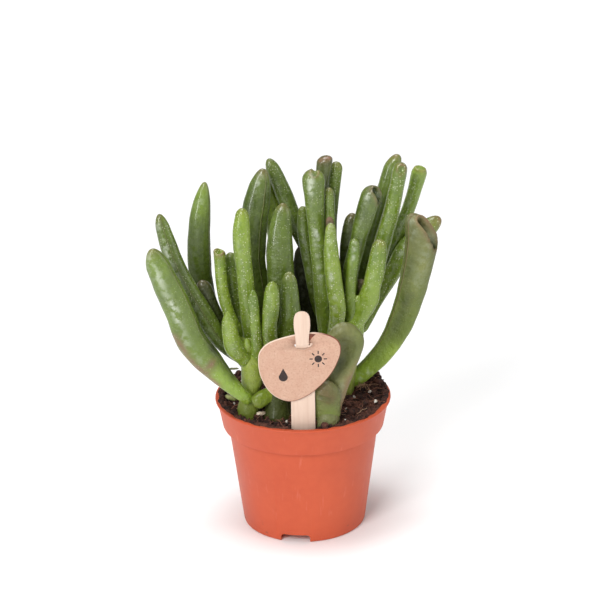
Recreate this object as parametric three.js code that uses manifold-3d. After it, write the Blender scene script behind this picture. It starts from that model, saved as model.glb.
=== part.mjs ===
// Hobbit jade in a 6 cm nursery pot: four short stems and a front stalk stand in
// the soil and carry thick finger leaves, and a wooden stick holds a plant tag.
// Millimetres, +Z up. The origin is on the pot's axis, on the surface it stands on,
// and -Y is the front.

import * as THREE from "three";
import { mergeVertices } from "three/addons/utils/BufferGeometryUtils.js";
import ManifoldModule from "manifold-3d";

const wasm = await ManifoldModule();
wasm.setup();

// Driving dimensions
const GAP = 0.3;
const POT_HEIGHT = 46;
const LIP_RADIUS = 30;
const BAND_TOP_RADIUS = 29.3;
const BAND_FOOT_RADIUS = 27.6;
const BAND_HEIGHT = 10;
const BODY_TOP_RADIUS = 25.7;
const BODY_FOOT_RADIUS = 21;
const FOOT_ROUNDING = 0.6;
const WALL = 1.1;
const FLOOR = 1.2;
const LIP_HEIGHT = 0.6;
const LIP_SLOPE = 0.2;
const POT_SEGMENTS = 48;
const SOIL_SEGMENTS = 36;
const DRAIN_SEGMENTS = 16;

const RECESS_COUNT = 3;
const RECESS_WIDTH = 9;
const RECESS_HEIGHT = 2.2;
const RECESS_DEPTH = 5.5;
const RECESS_WALL = 1;
const FIRST_RECESS = THREE.MathUtils.degToRad(-99);
const RECESS_ROOF_BACK = 0.8;
const DRAIN_RADIUS = 1.6;
const DRAIN_BACK = 0.6;

const SOIL_EDGE = 44.9;
const SOIL_MOUND = 1.2;
const RIGHT_MOUND = 1.6;
const RIGHT_MOUND_X = 20;
const RIGHT_MOUND_Y = 4;
const RIGHT_MOUND_SPREAD = 90;
const PLANTING_DEPTH = 3;

const TAG_THICKNESS = 0.8;
const TAG_Y = -26.3;
const STICK_THICKNESS = 0.8;
const STICK_WIDTH = 8;
const STICK_NECK = 4.3;
const STICK_HEAD = 5.4;
const STICK_TOP = 88;
const STICK_FOOT = 38;
const SLOT_LOW = 72;
const SLOT_HIGH = 77;
const TAG_CORNERS = 52;

const LEAF_SIDES = 10;
const STEM_SIDES = 12;
const STEM_STEPS = 8;
const STEM_SHOULDER = 0.35;
const STEM_ROOT = 0.4;
const MIDDLE_RINGS = 7;

// Shares of a leaf's width: how far its rounded ends reach, and rings on them as
// pairs of a share of that reach and a share of the width
const BASE_REACH = 0.4;
const BASE_RING = [0.3, 0.71];
const TIP_RINGS = [
  [0.55, 0.89],
  [0.17, 0.56],
];
const DISH_LIP = [0.1, 0.7];
const DISH_DEPTH = 0.25;
const BASE_RINGS_CHECKED = 4;
const SEARCH_STEP = 0.1;
const SEARCH_END = 0.4;
const FRONT = new THREE.Vector3(0, -1, 0.35).normalize();

const LOOKS = {
  terracotta: { color: 0xdb684e, roughness: 0.42 },
  peat: { color: 0x2e211b, roughness: 0.95 },
  birch: { color: 0xf0dcc8, roughness: 0.7 },
  board: { color: 0xe2b8a0, roughness: 0.75 },
  midGreen: { color: 0x5d8040, roughness: 0.38 },
  lightGreen: { color: 0x86a548, roughness: 0.38 },
  shadeGreen: { color: 0x3c5530, roughness: 0.42 },
  greyGreen: { color: 0x78855a, roughness: 0.45 },
  stemGreen: { color: 0x6f8b4b, roughness: 0.5 },
  dullBrown: { color: 0x7a6d52, roughness: 0.6 },
};

const plant = new THREE.Group();

function addMesh(name, geometry, look) {
  const material = new THREE.MeshStandardMaterial({ ...LOOKS[look], metalness: 0 });
  const mesh = new THREE.Mesh(geometry, material);
  mesh.name = name;
  plant.add(mesh);
  return mesh;
}

// Solids that are joined and cut
function toSolid(geometry) {
  const bare = geometry.index ? geometry.clone() : geometry;
  bare.deleteAttribute("normal");
  bare.deleteAttribute("uv");
  const merged = mergeVertices(bare, 1e-4);
  return new wasm.Manifold(
    new wasm.Mesh({
      numProp: 3,
      vertProperties: merged.attributes.position.array,
      triVerts: new Uint32Array(merged.index.array),
    }),
  );
}

function toGeometry(solid) {
  const mesh = solid.getMesh();
  const geometry = new THREE.BufferGeometry();
  geometry.setAttribute("position", new THREE.BufferAttribute(mesh.vertProperties, 3));
  geometry.setIndex(new THREE.BufferAttribute(mesh.triVerts, 1));
  geometry.computeVertexNormals();
  return geometry;
}

function lathe(profile, segments) {
  const points = profile.map(([radius, z]) => new THREE.Vector2(radius, z));
  return new THREE.LatheGeometry(points, segments).rotateX(Math.PI / 2);
}

function box(width, depth, height, x, y, z) {
  return new THREE.BoxGeometry(width, depth, height).translate(x, y, z);
}

// A closed skin over a row of equal rings, from a first to a last pole
function skin(firstPole, rings, lastPole) {
  const sides = rings[0].length;
  const corners = [firstPole, ...rings.flat(), lastPole];
  const last = corners.length - 1;
  const index = [];
  for (let k = 0; k < sides; k += 1) {
    const next = (k + 1) % sides;
    index.push(0, 1 + next, 1 + k);
    for (let ring = 0; ring < rings.length - 1; ring += 1) {
      const low = 1 + ring * sides;
      const high = low + sides;
      index.push(low + k, low + next, high + next);
      index.push(low + k, high + next, high + k);
    }
    index.push(last, last - sides + k, last - sides + next);
  }
  const geometry = new THREE.BufferGeometry().setFromPoints(corners);
  geometry.setIndex(index);
  geometry.computeVertexNormals();
  return geometry;
}

// The axis of a stem or leaf: a smooth curve through rows of [x, y, z, width]
function axisOf(rows) {
  const route = new THREE.CatmullRomCurve3(rows.map(([x, y, z]) => new THREE.Vector3(x, y, z)));
  const widths = new THREE.CatmullRomCurve3(rows.map((row) => new THREE.Vector3(row[3], 0, 0)));
  return {
    length: route.getLength(),
    at(distance) {
      const along = THREE.MathUtils.clamp(distance / route.getLength(), 0, 1);
      const t = route.getUtoTmapping(along);
      return { point: route.getPoint(t), tangent: route.getTangent(t), width: widths.getPoint(t).x };
    },
  };
}

function ringAt(station, halfWidth, halfThickness, facing, sides) {
  const side = new THREE.Vector3().crossVectors(facing, station.tangent).normalize();
  const face = new THREE.Vector3().crossVectors(station.tangent, side).normalize();
  return Array.from({ length: sides }, (_, k) => {
    const angle = (2 * Math.PI * k) / sides;
    return station.point
      .clone()
      .addScaledVector(side, halfWidth * Math.cos(angle))
      .addScaledVector(face, halfThickness * Math.sin(angle));
  });
}

// Stems
const stems = {};

function stemSkin(axis, swell) {
  const rings = [];
  for (let k = 0; k <= STEM_STEPS; k += 1) {
    const station = axis.at((axis.length * k) / STEM_STEPS);
    const radius = station.width / 2 + swell;
    if (k === 0) station.point.addScaledVector(station.tangent, -swell);
    rings.push(ringAt(station, radius, radius, FRONT, STEM_SIDES));
  }
  const top = axis.at(axis.length);
  const shoulder = axis.at(axis.length);
  const shoulderRadius = top.width * STEM_SHOULDER + swell;
  shoulder.point.addScaledVector(top.tangent, shoulderRadius);
  rings.push(ringAt(shoulder, shoulderRadius, shoulderRadius, FRONT, STEM_SIDES));
  const tip = top.point.clone().addScaledVector(top.tangent, top.width / 2 + swell);
  const foot = axis.at(0);
  const root = foot.point.clone().addScaledVector(foot.tangent, -STEM_ROOT - swell);
  return skin(root, rings, tip);
}

function stem(name, look, rows) {
  const foot = [rows[0][0], rows[0][1], rows[0][2] - PLANTING_DEPTH, rows[0][3]];
  const axis = axisOf([foot, ...rows]);
  stems[name] = axis;
  addMesh(name, stemSkin(axis, 0), look);
}

// Distance from a point to the surface of a stem
function distanceToStem(point, axis) {
  let nearest = Infinity;
  const steps = 60;
  for (let k = 0; k <= steps; k += 1) {
    const station = axis.at((axis.length * k) / steps);
    nearest = Math.min(nearest, station.point.distanceTo(point) - station.width / 2);
  }
  return nearest;
}

// Leaves. A leaf starts where its rounded base clears the stem by the gap, and
// ends in a round tip or, on a trumpet leaf, in a shallow dish.
function leafRings(axis, start, shape) {
  const base = axis.at(start);
  const end = axis.at(axis.length);
  const baseCap = base.width * BASE_REACH;
  const tipCap = shape.tip === "dish" ? 0 : end.width * shape.point;
  const straight = axis.length - start - baseCap - tipCap;
  const stations = [[start + baseCap * BASE_RING[0], BASE_RING[1]]];
  for (let k = 0; k < MIDDLE_RINGS; k += 1) {
    stations.push([start + baseCap + (straight * k) / (MIDDLE_RINGS - 1), 1]);
  }
  if (shape.tip === "dish") {
    stations.push([axis.length - end.width * DISH_LIP[0], DISH_LIP[1]]);
  } else {
    stations.push(...TIP_RINGS.map(([reach, share]) => [axis.length - tipCap * reach, share]));
  }
  return stations.map(([distance, share]) => {
    const station = axis.at(distance);
    const half = (station.width / 2) * share;
    return ringAt(station, half, half * shape.thickness, shape.facing, LEAF_SIDES);
  });
}

function leaf(name, look, stemName, rows, options = {}) {
  const shape = { thickness: 0.72, tip: "round", point: 0.55, facing: FRONT, ...options };
  const axis = axisOf(rows);
  let start = 0;
  let rings = leafRings(axis, start, shape);
  const clearance = () => {
    const nearBase = [axis.at(start).point, ...rings.slice(0, BASE_RINGS_CHECKED).flat()];
    return Math.min(...nearBase.map((corner) => distanceToStem(corner, stems[stemName])));
  };
  while (clearance() < GAP && start < axis.length * SEARCH_END) {
    start += SEARCH_STEP;
    rings = leafRings(axis, start, shape);
  }
  const base = axis.at(start).point;
  const dish = shape.tip === "dish" ? rows.at(-1)[3] * DISH_DEPTH : 0;
  const end = axis.at(axis.length - dish).point;
  addMesh(name, skin(base, rings, end), look);
}

// Pot: a tapered body under a plain band with a thin lip
const BODY_TOP = POT_HEIGHT - BAND_HEIGHT;
const WALL_STEP_HIGH = 0.4;
const WALL_STEP_LOW = 1.2;

function potProfile() {
  return [
    [0, 0],
    [BODY_FOOT_RADIUS - FOOT_ROUNDING, 0],
    [BODY_FOOT_RADIUS, FOOT_ROUNDING],
    [BODY_TOP_RADIUS, BODY_TOP],
    [BAND_FOOT_RADIUS, BODY_TOP],
    [BAND_TOP_RADIUS, POT_HEIGHT - LIP_HEIGHT - LIP_SLOPE],
    [LIP_RADIUS, POT_HEIGHT - LIP_HEIGHT],
    [LIP_RADIUS, POT_HEIGHT],
    [BAND_TOP_RADIUS - WALL, POT_HEIGHT],
    [BAND_FOOT_RADIUS - WALL, BODY_TOP + WALL_STEP_HIGH],
    [BODY_TOP_RADIUS - WALL, BODY_TOP - WALL_STEP_LOW],
    [BODY_FOOT_RADIUS - WALL, FLOOR],
    [0, FLOOR],
  ];
}

// Each recess is a low pocket through the foot of the wall, with a drain hole
function pot() {
  let solid = toSolid(lathe(potProfile(), POT_SEGMENTS));
  const middle = BODY_FOOT_RADIUS - RECESS_DEPTH / 2;
  for (let k = 0; k < RECESS_COUNT; k += 1) {
    const angle = FIRST_RECESS + (2 * Math.PI * k) / RECESS_COUNT;
    const roofDepth = RECESS_DEPTH + RECESS_WALL - FOOT_ROUNDING;
    const roofWidth = RECESS_WIDTH + 2 * RECESS_WALL;
    const roofHeight = RECESS_HEIGHT + RECESS_WALL;
    const roofFoot = FLOOR / 3;
    const roofMiddle = (roofHeight + roofFoot) / 2;
    const roofBack = middle - RECESS_ROOF_BACK;
    const roof = box(roofDepth, roofWidth, roofHeight - roofFoot, roofBack, 0, roofMiddle);
    const pocket = box(RECESS_DEPTH + 2, RECESS_WIDTH, 2 * RECESS_HEIGHT, middle + 1, 0, 0);
    const drain = new THREE.CylinderGeometry(DRAIN_RADIUS, DRAIN_RADIUS, 4, DRAIN_SEGMENTS);
    drain.rotateX(Math.PI / 2).translate(middle - DRAIN_BACK, 0, roofHeight);
    solid = solid.add(toSolid(roof.rotateZ(angle)));
    solid = solid.subtract(toSolid(pocket.rotateZ(angle)));
    solid = solid.subtract(toSolid(drain.rotateZ(angle)));
  }
  addMesh("pot", toGeometry(solid), "terracotta");
}

// Soil: fills the pot, a little higher at the right, with a socket for each stem
function soilHeight(x, y) {
  const reach = Math.min(1, Math.hypot(x, y) / (LIP_RADIUS - 3));
  const dome = SOIL_MOUND * (1 - reach * reach);
  const away = (x - RIGHT_MOUND_X) ** 2 + (y - RIGHT_MOUND_Y) ** 2;
  return dome + RIGHT_MOUND * Math.exp(-away / RIGHT_MOUND_SPREAD);
}

function soil() {
  const foot = RECESS_HEIGHT + RECESS_WALL + GAP;
  const inner = BAND_TOP_RADIUS - WALL - GAP;
  const profile = [
    [0, foot],
    [BODY_FOOT_RADIUS - WALL - GAP, foot],
    [BODY_TOP_RADIUS - WALL - GAP, BODY_TOP - 1],
    [BAND_FOOT_RADIUS - WALL - GAP, BODY_TOP + 0.8],
    [inner - 0.2, SOIL_EDGE],
    [inner - 4, SOIL_EDGE + 0.01],
    [inner - 10, SOIL_EDGE + 0.02],
    [inner - 17, SOIL_EDGE + 0.03],
    [inner - 23, SOIL_EDGE + 0.04],
    [0, SOIL_EDGE + 0.05],
  ];
  const geometry = lathe(profile, SOIL_SEGMENTS);
  const corners = geometry.attributes.position;
  for (let k = 0; k < corners.count; k += 1) {
    if (corners.getZ(k) > SOIL_EDGE - 0.005) {
      corners.setZ(k, corners.getZ(k) + soilHeight(corners.getX(k), corners.getY(k)));
    }
  }
  let solid = toSolid(geometry);
  for (const axis of Object.values(stems)) {
    solid = solid.subtract(toSolid(stemSkin(axis, GAP)));
  }
  solid = solid.subtract(toSolid(stickSkin(GAP)));
  addMesh("soil", toGeometry(solid), "peat");
}

// Stick: upright behind the tag, then forward through the tag's slot
function stickSkin(swell) {
  const behind = TAG_Y + TAG_THICKNESS / 2 + GAP + STICK_THICKNESS / 2;
  const inFront = TAG_Y - TAG_THICKNESS / 2 - GAP - STICK_THICKNESS / 2;
  const stations = [
    [STICK_FOOT - swell, STICK_WIDTH * 0.5, behind],
    [STICK_FOOT + 4, STICK_WIDTH, behind],
    [SLOT_LOW - 6, STICK_WIDTH, behind],
    [SLOT_LOW - 3, STICK_NECK, behind],
    [SLOT_LOW, STICK_NECK, behind],
    [SLOT_HIGH, STICK_NECK, inFront],
    [SLOT_HIGH + 3, STICK_NECK, inFront],
    [STICK_TOP - 4, STICK_HEAD, inFront],
    [STICK_TOP - 1.4, STICK_HEAD * 0.92, inFront],
    [STICK_TOP - 0.3, STICK_HEAD * 0.5, inFront],
  ];
  const rings = stations.map(([z, width, y]) => {
    const halfWidth = width / 2 + swell;
    const halfThickness = STICK_THICKNESS / 2 + swell;
    return [
      new THREE.Vector3(-halfWidth, y - halfThickness, z),
      new THREE.Vector3(halfWidth, y - halfThickness, z),
      new THREE.Vector3(halfWidth, y + halfThickness, z),
      new THREE.Vector3(-halfWidth, y + halfThickness, z),
    ];
  });
  const foot = new THREE.Vector3(0, behind, STICK_FOOT - 2 - swell);
  const head = new THREE.Vector3(0, inFront, STICK_TOP + swell);
  return skin(foot, rings, head);
}

// Tag: an egg-shaped board, its blunt end at the upper right
function tag() {
  const outline = [
    [-14.6, 70.6],
    [-13.8, 64.4],
    [-10.4, 58.4],
    [-4.8, 55.5],
    [1, 57.2],
    [6.2, 61.4],
    [10.3, 66.8],
    [12.7, 73.6],
    [10.9, 78],
    [4.8, 80.1],
    [-2.6, 79.4],
    [-10.2, 77.1],
    [-13.6, 74.2],
  ];
  const posts = outline.map(([x, z]) => new THREE.Vector3(x, z, 0));
  const rim = new THREE.CatmullRomCurve3(posts, true).getPoints(TAG_CORNERS).slice(0, -1);
  const shape = new THREE.Shape(rim.map((corner) => new THREE.Vector2(corner.x, corner.y)));
  const board = new THREE.ExtrudeGeometry(shape, { depth: TAG_THICKNESS, bevelEnabled: false });
  board.rotateX(Math.PI / 2).translate(0, TAG_Y + TAG_THICKNESS / 2, 0);
  const solid = toSolid(board).subtract(toSolid(stickSkin(GAP)));
  addMesh("tag", toGeometry(solid), "board");
}

stem("stem_left", "stemGreen", [
  [-18.5, -13.8, 45, 6.4],
  [-18, -13.5, 50, 5.2],
  [-17, -13, 57.5, 5.4],
  [-17, -12, 65.5, 5.6],
  [-17.5, -10.5, 72, 4],
]);
stem("stem_middle", "shadeGreen", [
  [-8.5, -15.5, 45.5, 8.4],
  [-8.5, -15, 52, 6.6],
  [-9.5, -13, 60, 5.4],
  [-10, -11, 68, 4.4],
]);
stem("stem_back", "stemGreen", [
  [6, -1, 45.5, 5.4],
  [7.5, -0.5, 54, 5],
  [8.5, 0, 63, 4.4],
  [9, 1.5, 72, 3.6],
]);
stem("stem_right", "stemGreen", [
  [14.5, 1, 46.5, 6],
  [16, 1.5, 57, 5],
  [18.5, 3, 69, 4.4],
  [19, 3.5, 75, 3.4],
]);
stem("stalk_front", "greyGreen", [
  [7.8, -22.2, 45, 6.8],
  [8.4, -21.8, 49, 6.6],
]);

// Leaves of the left stem
leaf("leaf_left_outer", "midGreen", "stem_left", [
  [-19, -14.5, 54.5, 5.6],
  [-25.5, -17, 61, 7.8],
  [-32.5, -18.5, 70, 9.8],
  [-38.5, -19.5, 82, 9.8],
  [-46, -22, 101, 8.4],
  [-48.5, -23, 109, 6.4],
], { thickness: 0.6 });
leaf("leaf_left_second", "midGreen", "stem_left", [
  [-19, -12, 64, 4],
  [-26.5, -12.8, 71, 5.8],
  [-34, -11.5, 83.5, 6.6],
  [-39.5, -10.5, 93.5, 6.2],
  [-44.5, -9, 107.5, 5.4],
  [-46.5, -8, 115.5, 3.6],
]);
leaf("leaf_left_dark", "shadeGreen", "stem_left", [
  [-18, -9, 60, 3.6],
  [-26, -3, 69, 5],
  [-32, 0, 80, 7],
  [-34, 1, 95.5, 8],
  [-33.5, 2, 109.5, 7],
  [-31.5, 3, 122.5, 4.4],
]);
leaf("leaf_left_small_dark", "shadeGreen", "stem_left", [
  [-18.5, -9.5, 64, 2.8],
  [-24, -7.5, 71, 3.8],
  [-28.5, -6.5, 77.5, 4.2],
  [-32, -6, 86.5, 4.4],
  [-33.5, -6, 91, 3],
]);
leaf("leaf_left_front_short", "lightGreen", "stem_left", [
  [-18.5, -14, 65.5, 3.4],
  [-22.7, -16.8, 72, 4.8],
  [-24, -18, 78, 5],
  [-24.5, -19, 85, 3],
]);
leaf("leaf_left_bud", "lightGreen", "stem_left", [
  [-17, -13, 67.5, 2.2],
  [-17.8, -16.6, 71, 2.4],
  [-18.4, -17.5, 74.5, 2],
]);
leaf("leaf_left_cut_end", "midGreen", "stem_left", [
  [-18.5, -10, 71, 3],
  [-23, -9.5, 77, 4],
  [-26, -8, 87, 4],
  [-27, -6, 101, 4],
], { tip: "dish" });
leaf("leaf_left_behind", "shadeGreen", "stem_left", [
  [-17.5, -8.5, 70, 3],
  [-22, -3, 79, 3.4],
  [-23.5, -1, 92.5, 3.4],
  [-23.5, 0, 98.5, 3],
]);
leaf("leaf_left_tall", "midGreen", "stem_left", [
  [-17.3, -11.5, 72, 3.6],
  [-17.5, -12, 79, 5],
  [-18.5, -11, 93, 5.4],
  [-19.5, -10, 107.5, 5],
  [-19, -9, 117.5, 3],
]);
leaf("leaf_left_front_finger", "lightGreen", "stem_left", [
  [-15.2, -14.5, 66.5, 2.8],
  [-15.1, -18, 74.5, 3.2],
  [-15.9, -18.5, 86, 3.6],
  [-16, -19, 92.5, 2.2],
]);

// Leaves of the middle stem
leaf("leaf_middle_front_finger", "lightGreen", "stem_middle", [
  [-10, -14, 66, 3.6],
  [-10.8, -18, 77.5, 4.8],
  [-10, -18, 86.5, 5.2],
  [-9.5, -18, 95, 3],
]);
leaf("leaf_middle_dark_finger", "shadeGreen", "stem_middle", [
  [-8, -11.5, 67, 4],
  [-4, -13, 77.5, 6.6],
  [-4, -12.5, 87, 6.6],
  [-4, -12, 96, 4],
]);
leaf("leaf_middle_broad", "midGreen", "stem_middle", [
  [-9.5, -10, 69, 3.6],
  [-7, -6, 83.5, 7.4],
  [-7, -4, 100.5, 8.4],
  [-6.5, -3, 109, 7.2],
  [-5.5, -2, 116.5, 4.4],
], { thickness: 0.6 });
leaf("leaf_middle_large", "midGreen", "stem_middle", [
  [-11, -9.5, 66, 3.6],
  [-14.5, 0, 81, 6.4],
  [-16.5, 4, 96, 8],
  [-15, 6, 110.5, 9],
  [-12, 7, 125.5, 5.4],
], { thickness: 0.6 });
leaf("leaf_middle_back", "shadeGreen", "stem_middle", [
  [-9, -9.5, 62, 3],
  [-6, 5, 80, 4.8],
  [-7, 10.5, 95.2, 5.8],
  [-9, 14.5, 106.8, 6.4],
  [-12.5, 17, 120.5, 4],
]);
leaf("leaf_middle_stub", "lightGreen", "stem_middle", [
  [-9.5, -15.5, 54, 3.6],
  [-13.5, -18, 53, 4.8],
  [-16.5, -20, 51.5, 4.2],
]);

// Leaves of the back stem
leaf("leaf_back_arching", "midGreen", "stem_back", [
  [8.5, 2, 60, 2.8],
  [6.5, 9, 78, 3.8],
  [1.8, 11, 95, 4.6],
  [-3, 12, 107.5, 5.4],
  [-7.5, 13.5, 119.5, 5.2],
  [-10.5, 14, 126.5, 3.4],
]);
leaf("leaf_back_heart_trumpet", "midGreen", "stem_back", [
  [7.5, -1, 66, 3],
  [6.8, -2, 81, 4.4],
  [6, -0.5, 94.5, 4.8],
  [5, 1, 110, 5.6],
  [4.5, 2, 125, 7],
], { tip: "dish", thickness: 0.66 });
leaf("leaf_back_light", "lightGreen", "stem_back", [
  [9.5, -2, 63, 3.2],
  [12, -6.7, 79, 5.2],
  [11, -6.8, 89, 5.8],
  [10, -6.8, 100.5, 4.6],
  [10, -6.8, 111, 2.6],
]);
leaf("leaf_back_dark_trumpet", "shadeGreen", "stem_back", [
  [8.8, 2.5, 72.5, 2.6],
  [7, 6, 83, 3.2],
  [6, 8, 98.5, 3.6],
  [6.5, 9, 112.5, 3.6],
  [8.5, 10, 127.5, 4.4],
], { tip: "dish" });
leaf("leaf_back_slim", "midGreen", "stem_back", [
  [9.5, 1.5, 66, 2.6],
  [11.5, 5.5, 78, 3],
  [10.5, 9, 94.5, 3.2],
  [10.5, 11, 106.5, 3.4],
  [12.5, 13, 125.5, 3.4],
]);
leaf("leaf_back_narrow", "lightGreen", "stem_back", [
  [9.6, 1, 73.5, 2.2],
  [11.2, 1.2, 85, 2.6],
  [10, 2.2, 99, 2.8],
  [9.7, 4, 119.5, 2],
]);
leaf("leaf_back_brown_tip", "dullBrown", "stem_back", [
  [9.8, 0, 70, 2.2],
  [11.4, -2.4, 85, 2.6],
  [10.4, -2.4, 100.5, 2.6],
  [9.6, -2.4, 111.5, 2],
]);
leaf("leaf_back_left_slim", "midGreen", "stem_back", [
  [7.6, 1, 66.5, 2.4],
  [4.6, 1.4, 80, 2.8],
  [2.4, 2.9, 94.5, 3.4],
  [0.9, 3.6, 105, 3.4],
  [0.9, 4.2, 113, 2.4],
]);
leaf("leaf_back_shaded", "shadeGreen", "stem_back", [
  [6, -1, 58, 3],
  [3, 2, 72, 4.6],
  [1.5, 5, 84, 5.2],
  [1, 6, 92, 4.8],
  [0.5, 7, 98, 3],
]);

// Leaves of the right stem
leaf("leaf_right_dimpled", "midGreen", "stem_right", [
  [18.2, 3, 75, 3],
  [16.4, 1, 88, 4.6],
  [18.5, 1, 98.5, 5.4],
  [21, 1, 109, 6],
  [23, 1, 115.5, 7],
  [24.7, 1, 121, 6],
], { point: 0.42 });
leaf("leaf_right_inner_dark", "shadeGreen", "stem_right", [
  [17, 3.5, 68, 3],
  [15.5, 7, 80, 4],
  [16, 8.5, 93.5, 4.8],
  [17, 9, 102, 4.4],
  [17.5, 9, 108.5, 2.6],
]);
leaf("leaf_right_pointed_trumpet", "midGreen", "stem_right", [
  [18.8, 5, 76.5, 2.6],
  [20.2, 9.4, 85, 4],
  [23.5, 11.5, 96, 4.8],
  [27, 12.5, 109.5, 5.4],
  [32, 13.5, 126.5, 5.6],
], { tip: "dish" });
leaf("leaf_right_round_trumpet", "midGreen", "stem_right", [
  [20.5, 3, 70, 2.8],
  [22.9, 4.3, 79.5, 4.2],
  [26.5, 5, 95.5, 6],
  [30.5, 5, 110.5, 5.4],
  [33.5, 5, 126, 4.6],
], { tip: "dish" });
leaf("leaf_right_flared", "midGreen", "stem_right", [
  [18.5, 4.5, 65, 3],
  [22.5, 12, 72, 3.6],
  [26.8, 15, 81.5, 4],
  [32.5, 16, 96, 4.8],
  [37, 16, 108, 4.6],
  [40.5, 16, 121, 5],
], { tip: "dish" });
leaf("leaf_right_long_back", "midGreen", "stem_right", [
  [19.5, 3, 65, 3.4],
  [25.5, 7.5, 77.5, 4.8],
  [31, 10.5, 86, 5.8],
  [36.5, 13, 94.5, 5.8],
  [47.5, 17, 103.5, 3.4],
]);
leaf("leaf_right_front_finger", "lightGreen", "stem_right", [
  [17, 0.5, 66, 2.8],
  [16.5, -2.8, 76, 3.2],
  [16.5, -3.3, 88, 3.6],
  [17.5, -3.3, 97, 3.4],
  [18, -3.3, 104, 2.4],
]);
leaf("leaf_right_light", "lightGreen", "stem_right", [
  [19.5, 1, 68, 3.2],
  [23, -3, 84.5, 5.4],
  [25, -3, 93, 5.2],
  [26.5, -3, 103.5, 3.4],
]);
leaf("leaf_right_bud", "lightGreen", "stem_right", [
  [18.6, 0, 62, 2.2],
  [19, -4.8, 72, 2.4],
  [18.8, -6.2, 80, 2.6],
  [19, -6.6, 85, 2],
]);
leaf("leaf_right_dull", "dullBrown", "stem_right", [
  [20.4, 2.2, 74, 1.8],
  [20.2, 1.7, 81.5, 2.2],
  [20.2, 1.4, 87.5, 1.6],
]);
leaf("leaf_right_slot_cup", "greyGreen", "stem_right", [
  [16, 3, 48, 5.6],
  [27.5, 4, 59.5, 7.2],
  [34, 2, 72.5, 8.8],
  [37.5, 0, 86, 9.8],
  [40, -1, 99, 10.6],
  [39.5, -2, 111.5, 9.6],
], { tip: "dish", thickness: 0.66 });

// Leaves of the front stalk
leaf("leaf_front_spoon", "greyGreen", "stalk_front", [
  [9.8, -19.8, 50, 5.6],
  [11.4, -18.8, 58, 8],
  [13, -18.6, 67, 11],
  [14, -18.4, 73.5, 12.6],
  [14, -18, 78.5, 10],
], { thickness: 0.4 });
leaf("leaf_front_knob", "greyGreen", "stalk_front", [
  [7.9, -22.6, 50.5, 5.4],
  [8, -23, 55.5, 7.4],
  [8, -22.6, 61, 6],
], { thickness: 0.62 });

pot();
soil();
addMesh("stick", stickSkin(0), "birch");
tag();

export default plant;
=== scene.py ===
# %% [markdown]
# Potted hobbit jade. A young hobbit jade stands in a 6 cm nursery pot: short stems in
# dark peat, thick finger and trumpet leaves, and a wooden stick that holds a plant tag.
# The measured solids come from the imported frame, and every visible piece here is grown
# over them, so that the plant keeps its real size.

# %% Load the measured plant
import math
from types import SimpleNamespace

import bmesh
import bpy
import numpy as np
from mathutils import Matrix, Vector


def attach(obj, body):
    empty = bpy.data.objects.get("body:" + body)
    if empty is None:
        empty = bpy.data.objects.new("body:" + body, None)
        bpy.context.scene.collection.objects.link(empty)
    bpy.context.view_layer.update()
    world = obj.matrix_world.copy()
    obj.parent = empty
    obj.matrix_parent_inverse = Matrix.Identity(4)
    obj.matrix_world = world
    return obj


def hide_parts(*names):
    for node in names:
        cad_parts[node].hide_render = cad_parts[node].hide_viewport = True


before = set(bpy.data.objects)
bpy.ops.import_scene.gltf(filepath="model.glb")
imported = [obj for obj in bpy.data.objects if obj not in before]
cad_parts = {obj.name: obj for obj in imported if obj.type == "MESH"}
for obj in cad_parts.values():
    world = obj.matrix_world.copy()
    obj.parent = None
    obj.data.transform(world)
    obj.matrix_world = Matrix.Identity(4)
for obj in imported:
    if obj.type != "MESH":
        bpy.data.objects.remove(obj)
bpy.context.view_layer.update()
MM = 0.001
print("measured solids:", len(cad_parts))

# %% [markdown]
# The camera is fitted to the pot in the photograph: a long lens about 90 cm away that
# looks down by 22 degrees. A long lens keeps the rim's ellipse as shallow as it is there.

# %% Place the camera
CAMERA_PLACE = Vector((0, -0.8113, 0.4146))
LOOK_DOWN = math.radians(22.36)
LOOK_ASIDE = math.radians(-0.037)
ROLL = math.radians(-0.859)
SENSOR_WIDTH, LENS = 36, 156.24

forward = Vector((
    math.sin(LOOK_ASIDE) * math.cos(LOOK_DOWN),
    math.cos(LOOK_ASIDE) * math.cos(LOOK_DOWN),
    -math.sin(LOOK_DOWN),
))
level = Vector((math.cos(LOOK_ASIDE), -math.sin(LOOK_ASIDE), 0))
upright = level.cross(forward)
rightward = level * math.cos(ROLL) + upright * math.sin(ROLL)
upward = upright * math.cos(ROLL) - level * math.sin(ROLL)

camera = bpy.data.objects.new("camera", bpy.data.cameras.new("camera"))
camera.data.sensor_width = SENSOR_WIDTH
camera.data.lens = LENS
camera.matrix_world = (
    Matrix.Translation(CAMERA_PLACE)
    @ Matrix((rightward, upward, -forward)).transposed().to_4x4()
)
bpy.context.scene.collection.objects.link(camera)
bpy.context.scene.camera = camera
print("camera to plant:", round(CAMERA_PLACE.length, 3), "m")

# %% [markdown]
# The plant was lit for a catalogue: a soft light high at the front, a tall narrow one lower
# at the left that gives the waxy leaves their long streaks, a weak one at the right and one
# from above. The last one whitens the far floor only, straight from above it. Each light is
# a rectangle with a place, a target, a width and height in metres, and its watts.

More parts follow.
